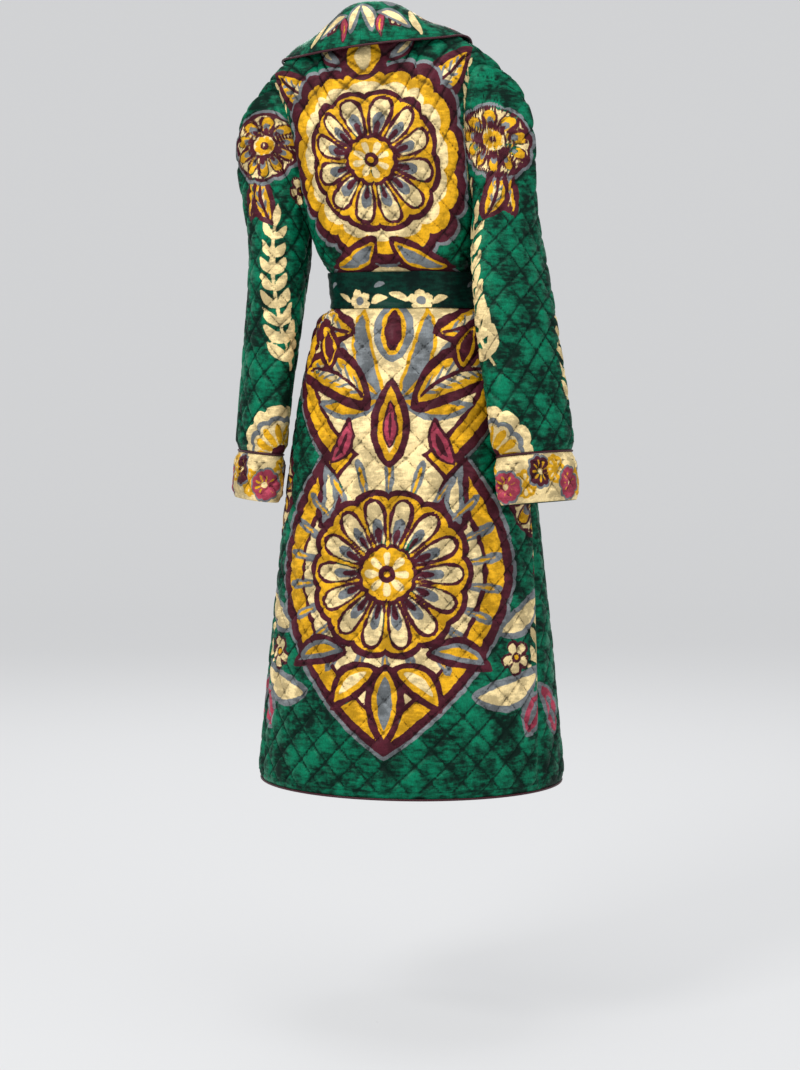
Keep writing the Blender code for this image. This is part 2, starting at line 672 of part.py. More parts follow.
def make_body(sleeves):
    """Back and both fronts."""
    joints = {side: armhole_joint(sleeve) for side, sleeve in sleeves.items()}
    steps = np.arange(ARMHOLE_STEPS + 1)
    outline, marks = back_outline()
    rows = []
    for side in (1, -1):
        rows += joint_rows(outline, armhole_pattern(True), side, joints[side], steps)
    panel("back", outline, marks, lambda u, v: body_point(u, v, 1, True), -1.0, rows, quiet_belt)
    outline, marks = front_outline()
    for side, name in ((1, "front_left"), (-1, "front_right")):
        ks = (2 * ARMHOLE_STEPS - steps) % (2 * ARMHOLE_STEPS)
        rows = joint_rows(outline, armhole_pattern(False), 1, joints[side], ks)
        covered = side == 1

        def quiet(uv, covered=covered):
            flat = ease((uv[:, 0] - OVERLAP - 0.015) / 0.03) if covered else 1.0
            return quiet_belt(uv) * flat

        panel(name, outline, marks,
              lambda u, v, s=side: body_point(u, v, s, False, s == -1), float(side), rows, quiet)
    return joints


def tube_wall(name, sleeve, top, bottom, sign, joint):
    """Quilted tube between two pattern heights, its pattern's side edges sewn into one."""
    count = SLEEVE_AROUND
    if top is None:
        phases = np.arange(2 * ARMHOLE_STEPS + 1) / (2 * ARMHOLE_STEPS)
        crown = [(p * sleeve.round, sleeve.top_v + sleeve.cap_height(p % 1.0)) for p in phases]
    else:
        crown = [(k * STEP_U, top) for k in range(count + 1)]
    foot = [(k * STEP_U, bottom) for k in range(count + 1)]
    height = crown[0][1] - bottom
    rows = max(2, int(round(height / STEP_V)))
    side = [bottom + height * k / rows for k in range(1, rows)]
    outline = np.array(foot + [(sleeve.round, v) for v in side] + crown[::-1]
                       + [(0.0, v) for v in side[::-1]])
    uv, faces = cut_pattern(outline)
    base, normal = surface(sleeve.point, uv, sign)
    size = len(outline)
    shifts, offsets = np.zeros((size, 3)), normal[:size] * STITCHED_WALL
    if top is None:
        apart, slant = joint
        first = len(foot) + len(side)
        for k in range(2 * ARMHOLE_STEPS + 1):
            at = first + 2 * ARMHOLE_STEPS - k
            shifts[at] = -apart[k % (2 * ARMHOLE_STEPS)]
            offsets[at] = slant[k % (2 * ARMHOLE_STEPS)]
    ends = np.minimum(np.abs(uv[:, 1] - bottom),
                      np.abs(uv[:, 1] - np.interp(uv[:, 0], [c[0] for c in crown],
                                                  [c[1] for c in crown])))
    inner = base.copy()
    inner[:size] += shifts
    rise = STITCHED_WALL + PUFF * quilt_height(uv) * ease((ends - 0.003) / PUFF_FADE)
    outer = inner + normal * rise[:, None]
    on_end = np.zeros(len(uv), bool)
    on_end[:size] = ends[:size] < 1e-6
    outer[on_end] = inner[on_end] + offsets[on_end[:size]]
    joined = np.arange(len(uv))
    for k in range(size):
        if abs(outline[k, 0] - sleeve.round) < 1e-9:
            match = np.where((np.abs(outline[:, 0]) < 1e-9)
                             & (np.abs(outline[:, 1] - outline[k, 1]) < 1e-6))[0]
            joined[k] = match[0]
    faces = joined[faces]
    used = np.unique(faces)
    renumber = np.zeros(len(uv), int)
    renumber[used] = np.arange(len(used))
    faces = renumber[faces]
    if sign < 0:
        faces = faces[:, ::-1]
    add_wall(name, inner[used], outer[used], faces, "velvet")


def sweep(path, radius, sides=6, closed=False):
    """Round tube along a path: its points and triangles."""
    path = np.asarray(path)
    n = len(path)
    if closed:
        run = unit(np.roll(path, -1, axis=0) - np.roll(path, 1, axis=0))
    else:
        run = unit(np.gradient(path, axis=0))
    up = np.tile([0.0, 0.0, 1.0], (n, 1))
    flat = np.abs(run[:, 2]) > 0.9
    up[flat] = (0.0, 1.0, 0.0)
    across = unit(np.cross(run, up))
    over = np.cross(across, run)
    turns = (np.arange(sides) + 0.5) * 2 * np.pi / sides
    loops = path[:, None] + radius * (np.cos(turns)[:, None] * across[:, None]
                                      + np.sin(turns)[:, None] * over[:, None])
    faces = []
    for k in range(n if closed else n - 1):
        for s in range(sides):
            a, b = k * sides + s, k * sides + (s + 1) % sides
            c, d = (k + 1) % n * sides + s, (k + 1) % n * sides + (s + 1) % sides
            faces += [(a, c, b), (b, c, d)]
    if not closed:
        last = (n - 1) * sides
        faces += [(0, s, s + 1) for s in range(1, sides - 1)]
        faces += [(last, last + s + 1, last + s) for s in range(1, sides - 1)]
    return loops.reshape(-1, 3), faces


def add_tube(name, path, closed=False):
    points, faces = sweep(path, PIPE_RADIUS, closed=closed)
    add_solid(name, points, faces, "piping")


def make_sleeve(sleeve, joint, word):
    """Sleeve, the piping round its end and the cuff below it."""
    sign = float(sleeve.side)
    tube_wall("sleeve_" + word, sleeve, None, 0.0, sign, joint)
    drop = 2 * PIPE_RADIUS + 2 * SEAM_GAP
    tube_wall("cuff_" + word, sleeve, -drop, drop - CUFF_HIGH, sign, None)
    turns = np.arange(PIPE_STEPS) / PIPE_STEPS * sleeve.round
    uv = np.stack([turns, np.full(PIPE_STEPS, -drop / 2)], -1)
    base, normal = surface(sleeve.point, uv, sign)
    add_tube("cuff_piping_" + word, base + normal * STITCHED_WALL / 2, closed=True)


def make_hem_piping():
    """Piping under the hem, from the left front's edge round the back to the right's."""
    around = half_round(0.0)
    u = np.arange(-OVERLAP, around, 0.033)
    left = body_point(u, np.zeros(len(u)), 1, False)
    right = body_point(u, np.zeros(len(u)), -1, False, True)
    middle = body_point(np.array([0.0]), np.zeros(1), 1, True)
    path = np.vstack([left, middle, right[::-1]])
    centre = np.array([TORSO[0][1], 0.0, 0.0])
    away = path - centre
    away[:, 2] = 0.0
    path = path + unit(away) * STITCHED_WALL / 2
    path[:, 2] -= SEAM_GAP + PIPE_RADIUS
    add_tube("hem_piping", path)


def band(name, profile_in, profile_out, colour, closed):
    """Closed band between two point grids (stations by rows)."""
    stations, rows = profile_in.shape[:2]
    cells = []
    for k in range(stations if closed else stations - 1):
        for r in range(rows - 1):
            a, b = k * rows + r, (k + 1) % stations * rows + r
            cells += [(a, b, a + 1), (a + 1, b, b + 1)]
    faces = np.array(cells)
    inner, outer = profile_in.reshape(-1, 3), profile_out.reshape(-1, 3)
    probe = np.cross(inner[faces[:, 1]] - inner[faces[:, 0]],
                     inner[faces[:, 2]] - inner[faces[:, 0]])
    if (probe * (outer - inner)[faces[:, 0]]).sum() < 0:
        faces = faces[:, ::-1]
    add_wall(name, inner, outer, faces, colour)


def neck_point(place):
    """Pattern point of the neck edge: 0 nape, 1 neck point, 2 end of the front neck edge."""
    if place <= 1.0:
        u = place * NECK_U
        return np.array([u, ARMPIT_V + upper_height(u, True)])
    high = np.array([NECK_U, ARMPIT_V + upper_height(NECK_U, False)])
    low = np.array([-OVERLAP, np.interp(V_BOTTOM_Z, LEVELS[:, 0], HEIGHTS_V)])
    return high + (low - high) * (place - 1.0)


def collar_places(side):
    """Places of the panels' neck points up to the collar's end, and the ones midway."""
    length = np.linalg.norm(neck_point(2.0) - neck_point(1.0 + 1e-9))
    steps = int(round(length / STEP_U))
    last = (NECK_U - COLLAR_END_U[side]) / (NECK_U + OVERLAP)
    count = int(round(last * steps))
    front = 1.0 + np.arange(2 * count + 1) / (2 * steps)
    front[0] += 1e-9
    return np.concatenate([np.linspace(0, 1, 2 * NECK_BACK_STEPS + 1)[:-1], front])


def collar_frames(places, side):
    """Neck edge points with their outward and upward directions.

    The back and the front meet at the neck point, so that station has both their directions.
    """
    rows = []
    for place in np.append(places, 1.0):
        edge, back = neck_point(place), place <= 1.0

        def form(u, v, back=back):
            return body_point(u * side if back else u, v, side, back, side == -1)

        at, normal = surface(form, edge[None], -1.0 * side if back else float(side))
        start = neck_point(max(place - 0.02, 1e-6 if back else 1.0 + 1e-6))
        ahead = neck_point(min(place + 0.02, 1.0 if back else 2.0))
        run = (ahead - start) / np.linalg.norm(ahead - start)
        off = edge + np.array([run[1], -run[0]]) * (-1 if back else 1) * 1e-3
        rows.append([at[0], normal[0], unit(form(off[:1], off[1:]) - at[:1])[0]])
    at, out, up = (np.array(part) for part in zip(*rows))
    out[2 * NECK_BACK_STEPS] += out[-1]
    up[2 * NECK_BACK_STEPS] += up[-1]
    at, out, up = at[:-1], unit(out[:-1]), unit(up[:-1])
    at[1:-1:2] = (at[:-2:2] + at[2::2]) / 2
    middle = unit(np.array([1.0, 0.0, TILT]))
    for vectors in (out, up):
        vectors[0] -= middle * (vectors[0] @ middle)
    return at, unit(out), unit(up)


def eased(vectors, times):
    """Directions evened out along the neck."""
    for _ in range(times):
        vectors = np.vstack([vectors[:1], vectors[:-2] + 2 * vectors[1:-1] + vectors[2:],
                             vectors[-1:]])
        vectors = unit(vectors)
    return vectors


def shoulder_cloth(side):
    """Points and normals of the cloth that the collar lies over."""
    across = np.arange(-OVERLAP, TIP_U, 0.008)
    points, normals = [], []
    for back in (True, False):
        u = np.repeat(across[across > -0.02] if back else across, 45)
        t = np.tile(np.linspace(-0.1, 1.0, 45), len(u) // 45)
        uv = np.stack([u, ARMPIT_V + t * upper_height(u, back)], -1)
        if not back:
            along = (neck_point(1.0 + 1e-9)[1] - uv[:, 1]) * (NECK_U + OVERLAP)
            fall = neck_point(1.0 + 1e-9)[1] - neck_point(2.0)[1]
            uv = uv[u > NECK_U - along / fall]

        def form(u, v, back=back):
            return body_point(u * side if back else u, v, side, back, side == -1)

        at, normal = surface(form, uv, -1.0 * side if back else float(side))
        points.append(at)
        normals.append(normal)
    return np.vstack(points), np.vstack(normals)


def held_off(points, cloth, clear):
    """Points moved out where needed, so that they lie this far over the nearest cloth."""
    places, normals = cloth
    apart = np.linalg.norm(points[:, None] - places, axis=2)
    near = np.argmin(apart, axis=1)
    short = clear - ((points - places[near]) * normals[near]).sum(1)
    short[apart.min(1) > 2 * clear] = 0.0
    return points + normals[near] * np.maximum(short, 0.0)[:, None]


def fall_point(place, fall):
    """Pattern point on the front under the collar's outer edge."""
    start = neck_point(1.0 + 1e-9)
    run = unit(neck_point(2.0) - start)
    return neck_point(max(place, 1.0 + 1e-9)) + np.array([-run[1], run[0]]) * fall


def collar_grid(places, side):
    """Side of the collar that shows, up inside the neck, over the fold and down the fall, and
    the direction of its thickness at the neck edge.

    Round the back and the shoulder the outer edge is a curve in the air. On the front it lies
    on the panel. Every row of the fall is kept clear of the cloth under it.
    """
    place_column = [row[0] for row in COLLAR]
    stand = np.interp(places, place_column, [row[1] for row in COLLAR])[:, None]
    fall = np.interp(places, place_column, [row[2] for row in COLLAR])
    fall *= 1 - COLLAR_TAPER * ease((places - places[-1]) / 0.35 + 1)
    at, out, up = collar_frames(places, side)
    wider = 1 + 1.8 * np.exp(-((places - 1.03) / 0.10) ** 2)[:, None]
    # at the neck's corner the foot stands a little further inside, clear of the front's edge
    inward = np.exp(-((places - places[10]) / 0.05) ** 2)[:, None] * (-0.0026 * side, 0, 0)
    base = at + up * COLLAR_SEAM * wider + out * STITCHED_WALL + inward
    thick = out
    foot = base - out * STITCHED_WALL
    out, up = eased(out, 30), eased(up, 30)
    turn = np.minimum(COLLAR_ROLL, 0.5 * stand + 0.004)
    down = base + up * (stand - 0.35 * turn) + out * 2 * turn
    cloth = shoulder_cloth(side)
    rows = [foot, base + up * stand,
            base + up * (stand + 0.75 * turn) + out * turn, down]
    turned = leaned(smooth_rows(COLLAR_EDGE) * (side, 1, 1))
    hanging = resample(turned, np.clip(places, 0, 1) * lengths_along(turned)[-1])
    under = np.array([fall_point(p, f) for p, f in zip(places, fall)])
    laid, normal = surface(lambda u, v: body_point(u, v, side, False, side == -1), under,
                           float(side))
    laid = laid + normal * (FULL_WALL + COLLAR_CLEAR)
    near = ease((places - 1.0) / 0.4)[:, None]
    edge = hanging * (1 - near) + laid * near
    for _ in range(6):
        edge[1:-1] = (edge[:-2] + 2 * edge[1:-1] + edge[2:]) / 4
    for part in (0.2, 0.4, 0.6, 0.8, 1.0):
        away = unit(np.where((places < 1.2)[:, None], out + up, normal))
        rows.append(down + (edge - down) * part + away * COLLAR_LIFT * 4 * part * (1 - part))
    grid = np.stack(rows, 1)
    for _ in range(COLLAR_EASING):
        grid[1:-1, 1:] = (grid[:-2, 1:] + 2 * grid[1:-1, 1:] + grid[2:, 1:]) / 4
        for k in range(3, grid.shape[1]):
            grid[:, k] = held_off(grid[:, k], cloth, FULL_WALL + COLLAR_CLEAR)
    return grid, thick


def grid_normals(grid, side):
    """Unit normals of a grid of stations by rows, level with the middle at the nape."""
    along = np.gradient(grid, axis=0)
    along[0] = np.array([1.0, 0.0, TILT]) * side
    return unit(np.cross(along, np.gradient(grid, axis=1))) * -side


def make_collar():
    """Both halves of the collar and the piping round its outer edge."""
    edges = {}
    for side, name in ((1, "collar_left"), (-1, "collar_right")):
        grid, thick = collar_grid(collar_places(side), side)
        normal = grid_normals(grid, side)
        normal[:, 0] = thick
        parted = grid.copy()
        parted[0, :, 0] += side * SEAM_GAP / 2
        band(name, parted, parted + normal * COLLAR_WALL, "velvet", False)
        edge = grid[:, -1] + normal[:, -1] * COLLAR_WALL / 2
        run = unit(np.gradient(edge, axis=0))
        tip = grid[:, -1] - grid[:, -2]
        tip = eased(unit(tip - run * (tip * run).sum(1)[:, None]), 4)
        edges[side] = edge + tip * (PIPE_RADIUS + PIPE_SEAM)
    add_tube("collar_piping", np.vstack([edges[1][::-1], edges[-1][1:]]))


def belt_clear(theta):
    """Distance from the body's inner surface to the belt, more over the crossed fronts."""
    from_front = np.abs(theta - np.pi)
    crossed = (LAYER + 0.0008) * (1 - ease((from_front - 0.75) / 0.5))
    return STITCHED_WALL + BELT_CLEAR + crossed


def make_belt():
    """The belt round the waist."""
    count = 48
    theta = np.arange(count) * 2 * np.pi / count
    rows = np.array([-0.5, 0.0, 0.5]) * BELT_HIGH
    inner, outer = np.zeros((count, 3, 3)), np.zeros((count, 3, 3))
    for r, rise in enumerate(rows):
        v = np.full(count, np.interp(BELT_Z + rise, LEVELS[:, 0], HEIGHTS_V))
        bulge = 0.0008 * (1 - (2 * rise / BELT_HIGH) ** 2)
        inner[:, r] = ring(theta, v, belt_clear(theta))
        outer[:, r] = ring(theta, v, belt_clear(theta) + BELT_WALL + bulge)
    band("belt_wrap", inner, outer, "belt", True)


def belt_front(v):
    """Depth of the outermost cloth at the front's centre, at pattern height v."""
    return level("front_depth", v) + FULL_WALL + LAYER


def make_knot():
    """The knot at the front of the belt and the two ends that hang from it."""
    face = ring(np.array([np.pi]), np.array([BELT_V]),
                belt_clear(np.array([np.pi])) + BELT_WALL + 0.0008)[0]
    bpy.ops.mesh.primitive_uv_sphere_add(segments=14, ring_count=8, radius=1.0)
    knot = bpy.context.object
    knot.name = knot.data.name = "belt_knot"
    spots = np.zeros(len(knot.data.vertices) * 3)
    knot.data.vertices.foreach_get("co", spots)
    place = np.array([face[0], face[1] - SEAM_GAP - KNOT_HALF[1], BELT_Z])
    spots = spots.reshape(-1, 3) * KNOT_HALF + place
    knot.data.vertices.foreach_set("co", spots.ravel())
    for holder in list(knot.users_collection):
        holder.objects.unlink(knot)
    COAT.objects.link(knot)
    knot.data.shade_smooth()
    knot.data.materials.append(bpy.data.materials["belt_wrap"])
    top = BELT_Z - KNOT_HALF[2] - SEAM_GAP
    for side, name, length in ((1, "belt_end_left", BELT_END),
                               (-1, "belt_end_right", BELT_END - 0.05)):
        z = np.linspace(top, top - length, 13)
        v = np.interp(z, LEVELS[:, 0], HEIGHTS_V)
        fallen = (top - z) / length
        half = 0.009 + (BELT_HIGH / 2 - 0.009) * ease(fallen * 3.5)
        centre = face[0] + side * (0.0015 + half + 0.010 * fallen)
        depth = np.maximum(belt_front(v) + 0.006, -place[1])
        grid = np.zeros((13, 4, 3))
        for k, across in enumerate(np.linspace(-1, 1, 4)):
            grid[:, k, 0] = centre + across * half
            grid[:, k, 1] = -depth + 0.003 * across ** 2
            grid[:, k, 2] = z
        band(name, grid, grid - (0.0, BELT_WALL, 0.0), "belt", False)


def wipe_scene():
    for item in list(bpy.data.objects):
        bpy.data.objects.remove(item, do_unlink=True)


wipe_scene()
COAT = bpy.data.collections.new("velvet_robe_coat")
bpy.context.scene.collection.children.link(COAT)

SLEEVES = {1: Sleeve(SLEEVE_LEFT, 1, Armhole(1)), -1: Sleeve(SLEEVE_RIGHT, -1, Armhole(-1))}
JOINTS = make_body(SLEEVES)
for number, label in ((1, "left"), (-1, "right")):
    make_sleeve(SLEEVES[number], JOINTS[number], label)
make_collar()
make_hem_piping()
make_belt()
make_knot()
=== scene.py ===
"""Quilted velvet robe coat with a shawl collar and a belt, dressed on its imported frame.

Metres, +Z up, the coat's front faces -Y and the wearer's left is +X. Each panel is a flat
pattern (u across, v up the cloth) laid on the worn form as one regular grid: the quilting,
gathers and folds move the grid along its normals, and the print is drawn in the flat pattern
as distances to its shapes, one attribute for each colour.
"""

import bpy
import numpy as np
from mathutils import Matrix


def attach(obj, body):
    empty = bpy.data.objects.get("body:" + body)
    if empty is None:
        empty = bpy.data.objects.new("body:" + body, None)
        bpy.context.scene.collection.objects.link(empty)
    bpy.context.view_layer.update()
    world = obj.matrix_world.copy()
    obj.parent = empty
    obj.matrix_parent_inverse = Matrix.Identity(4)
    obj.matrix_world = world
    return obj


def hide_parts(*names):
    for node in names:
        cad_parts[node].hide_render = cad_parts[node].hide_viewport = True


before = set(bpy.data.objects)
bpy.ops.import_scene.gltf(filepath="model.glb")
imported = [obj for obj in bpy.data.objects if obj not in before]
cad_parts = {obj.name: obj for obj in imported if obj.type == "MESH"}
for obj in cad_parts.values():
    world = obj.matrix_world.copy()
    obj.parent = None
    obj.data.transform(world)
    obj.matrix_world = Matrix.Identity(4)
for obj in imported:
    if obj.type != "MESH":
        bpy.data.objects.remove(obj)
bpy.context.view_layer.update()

# Cloth and quilting
WALL = 0.0025                   # wall at a stitch line
PUFF = 0.0045                   # rise of a diamond's middle over its stitches
FULL = WALL + PUFF
THINNEST = 0.0006               # least wall that a stitch leaves
STEP_U = 0.047 / 2              # half a diamond across
STEP_V = 0.0485 / 2             # half a diamond up
SEAM_FLAT = 0.002               # no puffs this near to a seam
PUFF_FADE = 0.012               # they grow from nothing over this distance
FOLD_FADE = 0.030               # and folds over this one
HEM_STITCH = 0.0085             # stitched line over the hem
HEM_ROLL = 0.0045               # middle of the turned hem
HEM_REACH = 0.0010              # the hem comes down to its cord by this much
PANEL_ROWS = (289, 96)          # grid rows below the armpit and above it
BACK_COLUMNS = 209
FRONT_COLUMNS = 149
SLEEVE_GRID = (105, 64, 129)    # rows of the arm, rows of the cap, columns
CUFF_GRID = (33, 145)
EVERY = 4                       # outer edges to one inner edge of a wall
CURVE_STEPS = 20                # points of a smooth curve from one table row to the next

# Body: outer sizes at each level
TORSO_COLUMNS = ("z", "centre_x", "half_width", "back_depth", "front_depth", "seam_angle")
TORSO = (
    (-1.100, -0.055, 0.2430, 0.212, 0.205, 66), (-0.900, -0.055, 0.2235, 0.192, 0.186, 73),
    (-0.700, -0.055, 0.2030, 0.172, 0.168, 81), (-0.550, -0.054, 0.1820, 0.152, 0.152, 85),
    (-0.455, -0.052, 0.1620, 0.131, 0.138, 87), (-0.395, -0.050, 0.1440, 0.110, 0.122, 88),
    (-0.365, -0.047, 0.1190, 0.086, 0.101, 88), (-0.340, -0.044, 0.1170, 0.083, 0.098, 88),
    (-0.317, -0.042, 0.1175, 0.086, 0.100, 88), (-0.298, -0.039, 0.1220, 0.102, 0.113, 88),
    (-0.270, -0.035, 0.1310, 0.112, 0.123, 88), (-0.235, -0.030, 0.1370, 0.116, 0.126, 88))
LEAN = TORSO[-1][1] / TORSO[-1][0]      # sideways lean of the upper body
TILT = -0.108                           # the shoulders fall to the wearer's left by this
NECK_U = 0.085                          # half the neck's width in the pattern
# x, y and z along the top of the shoulder, from the neck outwards
SHOULDER_LINE = ((0.072, -0.004, 0.052), (0.105, -0.004, 0.044), (0.140, -0.002, 0.0225),
                 (0.174, 0.000, -0.008), (0.200, 0.002, -0.041), (0.214, 0.002, -0.080))
TIP_INDEX = 4                           # row of the shoulder line where the sleeve is set in
NAPE = (0.0, 0.058, 0.040)
THROAT = (0.0, -0.085, -0.010)
# Share of the way up and pattern distance from the centre; None is the shoulder's tip
BACK_ARMHOLE = ((1.00, None), (0.80, 0.192), (0.55, 0.166), (0.30, 0.158), (0.10, 0.166))
FRONT_ARMHOLE = ((1.00, None), (0.78, 0.190), (0.50, 0.160), (0.30, 0.156), (0.10, 0.172))
OVERLAP = 0.060                         # the fronts lap this far past the centre
LAYER = 0.0070                          # the upper front lies this far out
V_BOTTOM_Z = -0.325                     # height where the neck edges cross
GATHERS = 18                            # waves of the gathers round the waist
GATHER_DEPTH = 0.0035
GATHER_BELOW = 0.105                    # how far they reach from the belt
GATHER_ABOVE = 0.050

# Sleeves: x, y, z, long half width, short half width, turn of the long way in degrees
SLEEVE = {
    1: ((0.153, 0.008, -0.300, 0.072, 0.049, 12), (0.162, 0.018, -0.400, 0.070, 0.044, 24),
        (0.172, 0.026, -0.500, 0.071, 0.039, 30), (0.179, 0.030, -0.590, 0.071, 0.037, 32),
        (0.186, 0.033, -0.670, 0.072, 0.036, 32)),
    -1: ((-0.213, 0.022, -0.300, 0.078, 0.045, 25), (-0.232, 0.060, -0.400, 0.074, 0.043, 40),
         (-0.250, 0.078, -0.500, 0.075, 0.039, 42), (-0.263, 0.086, -0.585, 0.075, 0.037, 42),
         (-0.272, 0.092, -0.665, 0.075, 0.036, 42))}
CUFF_HIGH = 0.080
SLEEVE_ROUND = 16 * STEP_U              # the pattern repeats evenly round the arm

# Collar
COLLAR_WALL = 0.0030
COLLAR_CLEAR = 0.0045                   # air between the fall and the cloth under it
COLLAR_SEAM = 0.0009                    # gap between the neck edge and the collar
COLLAR_ROLL = 0.0085                    # radius of the fold
COLLAR_LIFT = 0.006                     # how far the fall bows out
COLLAR_TAPER = 0.6                      # share of the fall that is gone at its ends
# Place along the neck edge, height of the stand, width of the fall
COLLAR = ((0.00, 0.050, 0.080), (1.00, 0.044, 0.080), (1.25, 0.030, 0.086),
          (1.60, 0.016, 0.080), (2.00, 0.009, 0.060))
# x, y and z of the fall's outer edge, from the middle of the back to the neck's side
COLLAR_EDGE = ((0.0, 0.092, 0.030), (0.045, 0.086, 0.031), (0.090, 0.062, 0.032),
               (0.127, 0.030, 0.032), (0.148, -0.006, 0.030))
COLLAR_INWARD = 0.0026                  # its foot stands this far in at the neck's corner
COLLAR_END_U = {1: 0.018, -1: -0.040}   # pattern distance at which each collar ends
NECK_STATIONS = 10                      # stations of the collar from nape to neck point

# Piping and belt
PIPE = 0.00175
PIPE_SEAM = 0.0006
PIPE_SIDES = 12
BELT_Z = -0.340
BELT_HIGH = 0.055
BELT_WALL = 0.0030
BELT_CLEAR = 0.0019
BELT_END = 0.38                         # length of the left end, which is the longer one
BELT_GRID = (25, 257)                   # rows across the belt, columns round it
TAIL_ROWS = 97
KNOT_HALF = (0.021, 0.014, 0.029)
SMALL_GAP = 0.0003                      # between pieces that are sewn or lie on each other

# Colours, linear
INKS = {
    "cream": (0.76, 0.59, 0.29),
    "gold": (0.66, 0.34, 0.003),
    "grey": (0.155, 0.17, 0.18),
    "wine": (0.058, 0.003, 0.011),
    "rose": (0.36, 0.040, 0.075),
}
# Lit and shaded copies of the green ground and of the belt: the velvet mixes them by its crush
# patches, and the shaded copy is painted shade in the quilting's valleys
GREEN_SHADED = (0.0008, 0.014, 0.0085)
GREEN_LIT = (0.0010, 0.200, 0.100)
BELT_SHADED = (0.0008, 0.010, 0.008)
BELT_LIT = (0.001, 0.040, 0.026)
INSIDE = (0.006, 0.055, 0.036, 1)
BURGUNDY = (0.060, 0.006, 0.014)
PAPER = (0.30, 0.303, 0.308)
NO_INK = 0.05                           # distance that stands for no print at all
WAVER = 0.0036                          # how far the printed edges waver
# Inks of a leaf or a flower, from its edge inwards
PALE = ("grey", "cream")
WARM = ("wine", "gold", "cream")
COLD = ("wine", "gold", "grey")
ROSY = ("wine", "rose", "wine")
ROSY_PALE = ("grey", "rose", "grey")
CREAM_RING = ("wine", "cream", "gold", "grey")

# Camera of the photograph, and soft lights
CAMERA_PLACE = (-0.8672, 3.9045, -0.40)
CAMERA_TURN = (85.4, 0.0, 192.0)
CAMERA_LENS = 86.1
FLOOR_Z = -1.50
ROOM_RADIUS = 8.0
ROOM_BEND = 2.0                         # radius of the curve from the floor to the wall
ROOM_HIGH = 4.2
PAPER_GLOW = 0.44
# Name, place, aim, size, power, colour
LIGHTS = (
    ("key", (1.4, 3.0, 2.0), (-0.05, 0.1, -0.5), 1.2, 95, (1.0, 0.99, 0.97)),
    ("fill", (-3.2, 2.2, 0.6), (-0.05, 0.1, -0.6), 2.2, 35, (0.98, 0.99, 1.0)),
    ("top", (0.0, 0.6, 3.2), (-0.05, 0.0, -0.5), 2.0, 60, (1, 1, 1)),
    ("front", (0.8, -3.0, 1.4), (-0.05, 0.0, -0.5), 2.2, 50, (1, 1, 1)))


# Small tools

def smooth_rows(rows, per_step=CURVE_STEPS):
    """Catmull-Rom curve through the rows of a table, as one dense array."""
    p = np.asarray(rows, float)
    ext = np.concatenate([2 * p[:1] - p[1:2], p, 2 * p[-1:] - p[-2:-1]])
    t = np.linspace(0, 1, per_step, endpoint=False)
    t = t.reshape((-1,) + (1,) * (p.ndim - 1))
    out = []
    for k in range(len(p) - 1):
        a, b, c, d = ext[k:k + 4]
        out.append(0.5 * (2 * b + (c - a) * t + (2 * a - 5 * b + 4 * c - d) * t ** 2
                          + (3 * b - a - 3 * c + d) * t ** 3))
    return np.concatenate(out + [p[-1:]])


def lengths_along(points):
    """Distance from the first point to each point of a polyline."""
    return np.concatenate([[0.0], np.cumsum(np.linalg.norm(np.diff(points, axis=0), axis=1))])


def resample(points, where, lengths=None):
    """Points of a polyline at the given distances along it."""
    along = lengths_along(points) if lengths is None else lengths
    return np.stack([np.interp(where, along, points[:, k]) for k in range(points.shape[1])], -1)


def unit(vectors):
    """Vectors divided by their length."""
    return vectors / np.maximum(np.linalg.norm(vectors, axis=-1, keepdims=True), 1e-12)


def ease(x):
    """Smooth step from 0 to 1: 3x^2 - 2x^3."""
    x = np.clip(x, 0.0, 1.0)
    return x * x * (3 - 2 * x)


def noise(x, y, seed=0):
    """Value noise from -1 to 1: hashed corner values joined by smooth steps."""
    i, j = np.floor(x), np.floor(y)
    fx, fy = ease(x - i), ease(y - j)

    def corner(a, b):
        h = np.sin(a * 127.1 + b * 311.7 + seed * 74.7) * 43758.5453
        return 2 * (h - np.floor(h)) - 1

    low = corner(i, j) * (1 - fx) + corner(i + 1, j) * fx
    high = corner(i, j + 1) * (1 - fx) + corner(i + 1, j + 1) * fx
    return low * (1 - fy) + high * fy


def rough(u, v, across, along, seed, period=None):
    """Two octaves of noise on the cloth, joined end to end on a tube."""
    def both(w):
        return (noise(w / across, v / along, seed)
                + 0.5 * noise(2.1 * w / across, 2.1 * v / along, seed + 5)) / 1.5

    if period is None:
        return both(u)
    mix = ease((u - 0.75 * period) / (0.25 * period))
    return both(u) * (1 - mix) + both(u - period) * mix


def cubic(t, start, start_slope, end, end_slope):
    """Hermite curve from start to end with the slope at each, for t from 0 to 1."""
    return ((2 * t ** 3 - 3 * t ** 2 + 1) * start + (t ** 3 - 2 * t ** 2 + t) * start_slope
            + (3 * t ** 2 - 2 * t ** 3) * end + (t ** 3 - t ** 2) * end_slope)


# The worn form

LEVELS = smooth_rows(TORSO)
HEIGHTS_V = lengths_along(LEVELS[:, [0, 3]])
ARMPIT_V = HEIGHTS_V[-1]
BELT_V = np.interp(BELT_Z, LEVELS[:, 0], HEIGHTS_V)
BELT_EDGES = np.interp((BELT_Z - BELT_HIGH / 2, BELT_Z + BELT_HIGH / 2),
                       LEVELS[:, 0], HEIGHTS_V)
RING_ANGLES = np.linspace(0, np.pi + 0.7, 150)


def level(column, v):
    """A torso column at a pattern height, as the inner surface needs it."""
    k = TORSO_COLUMNS.index(column)
    value = np.interp(v, HEIGHTS_V, LEVELS[:, k])
    return value - FULL if column in ("half_width", "back_depth", "front_depth") else value


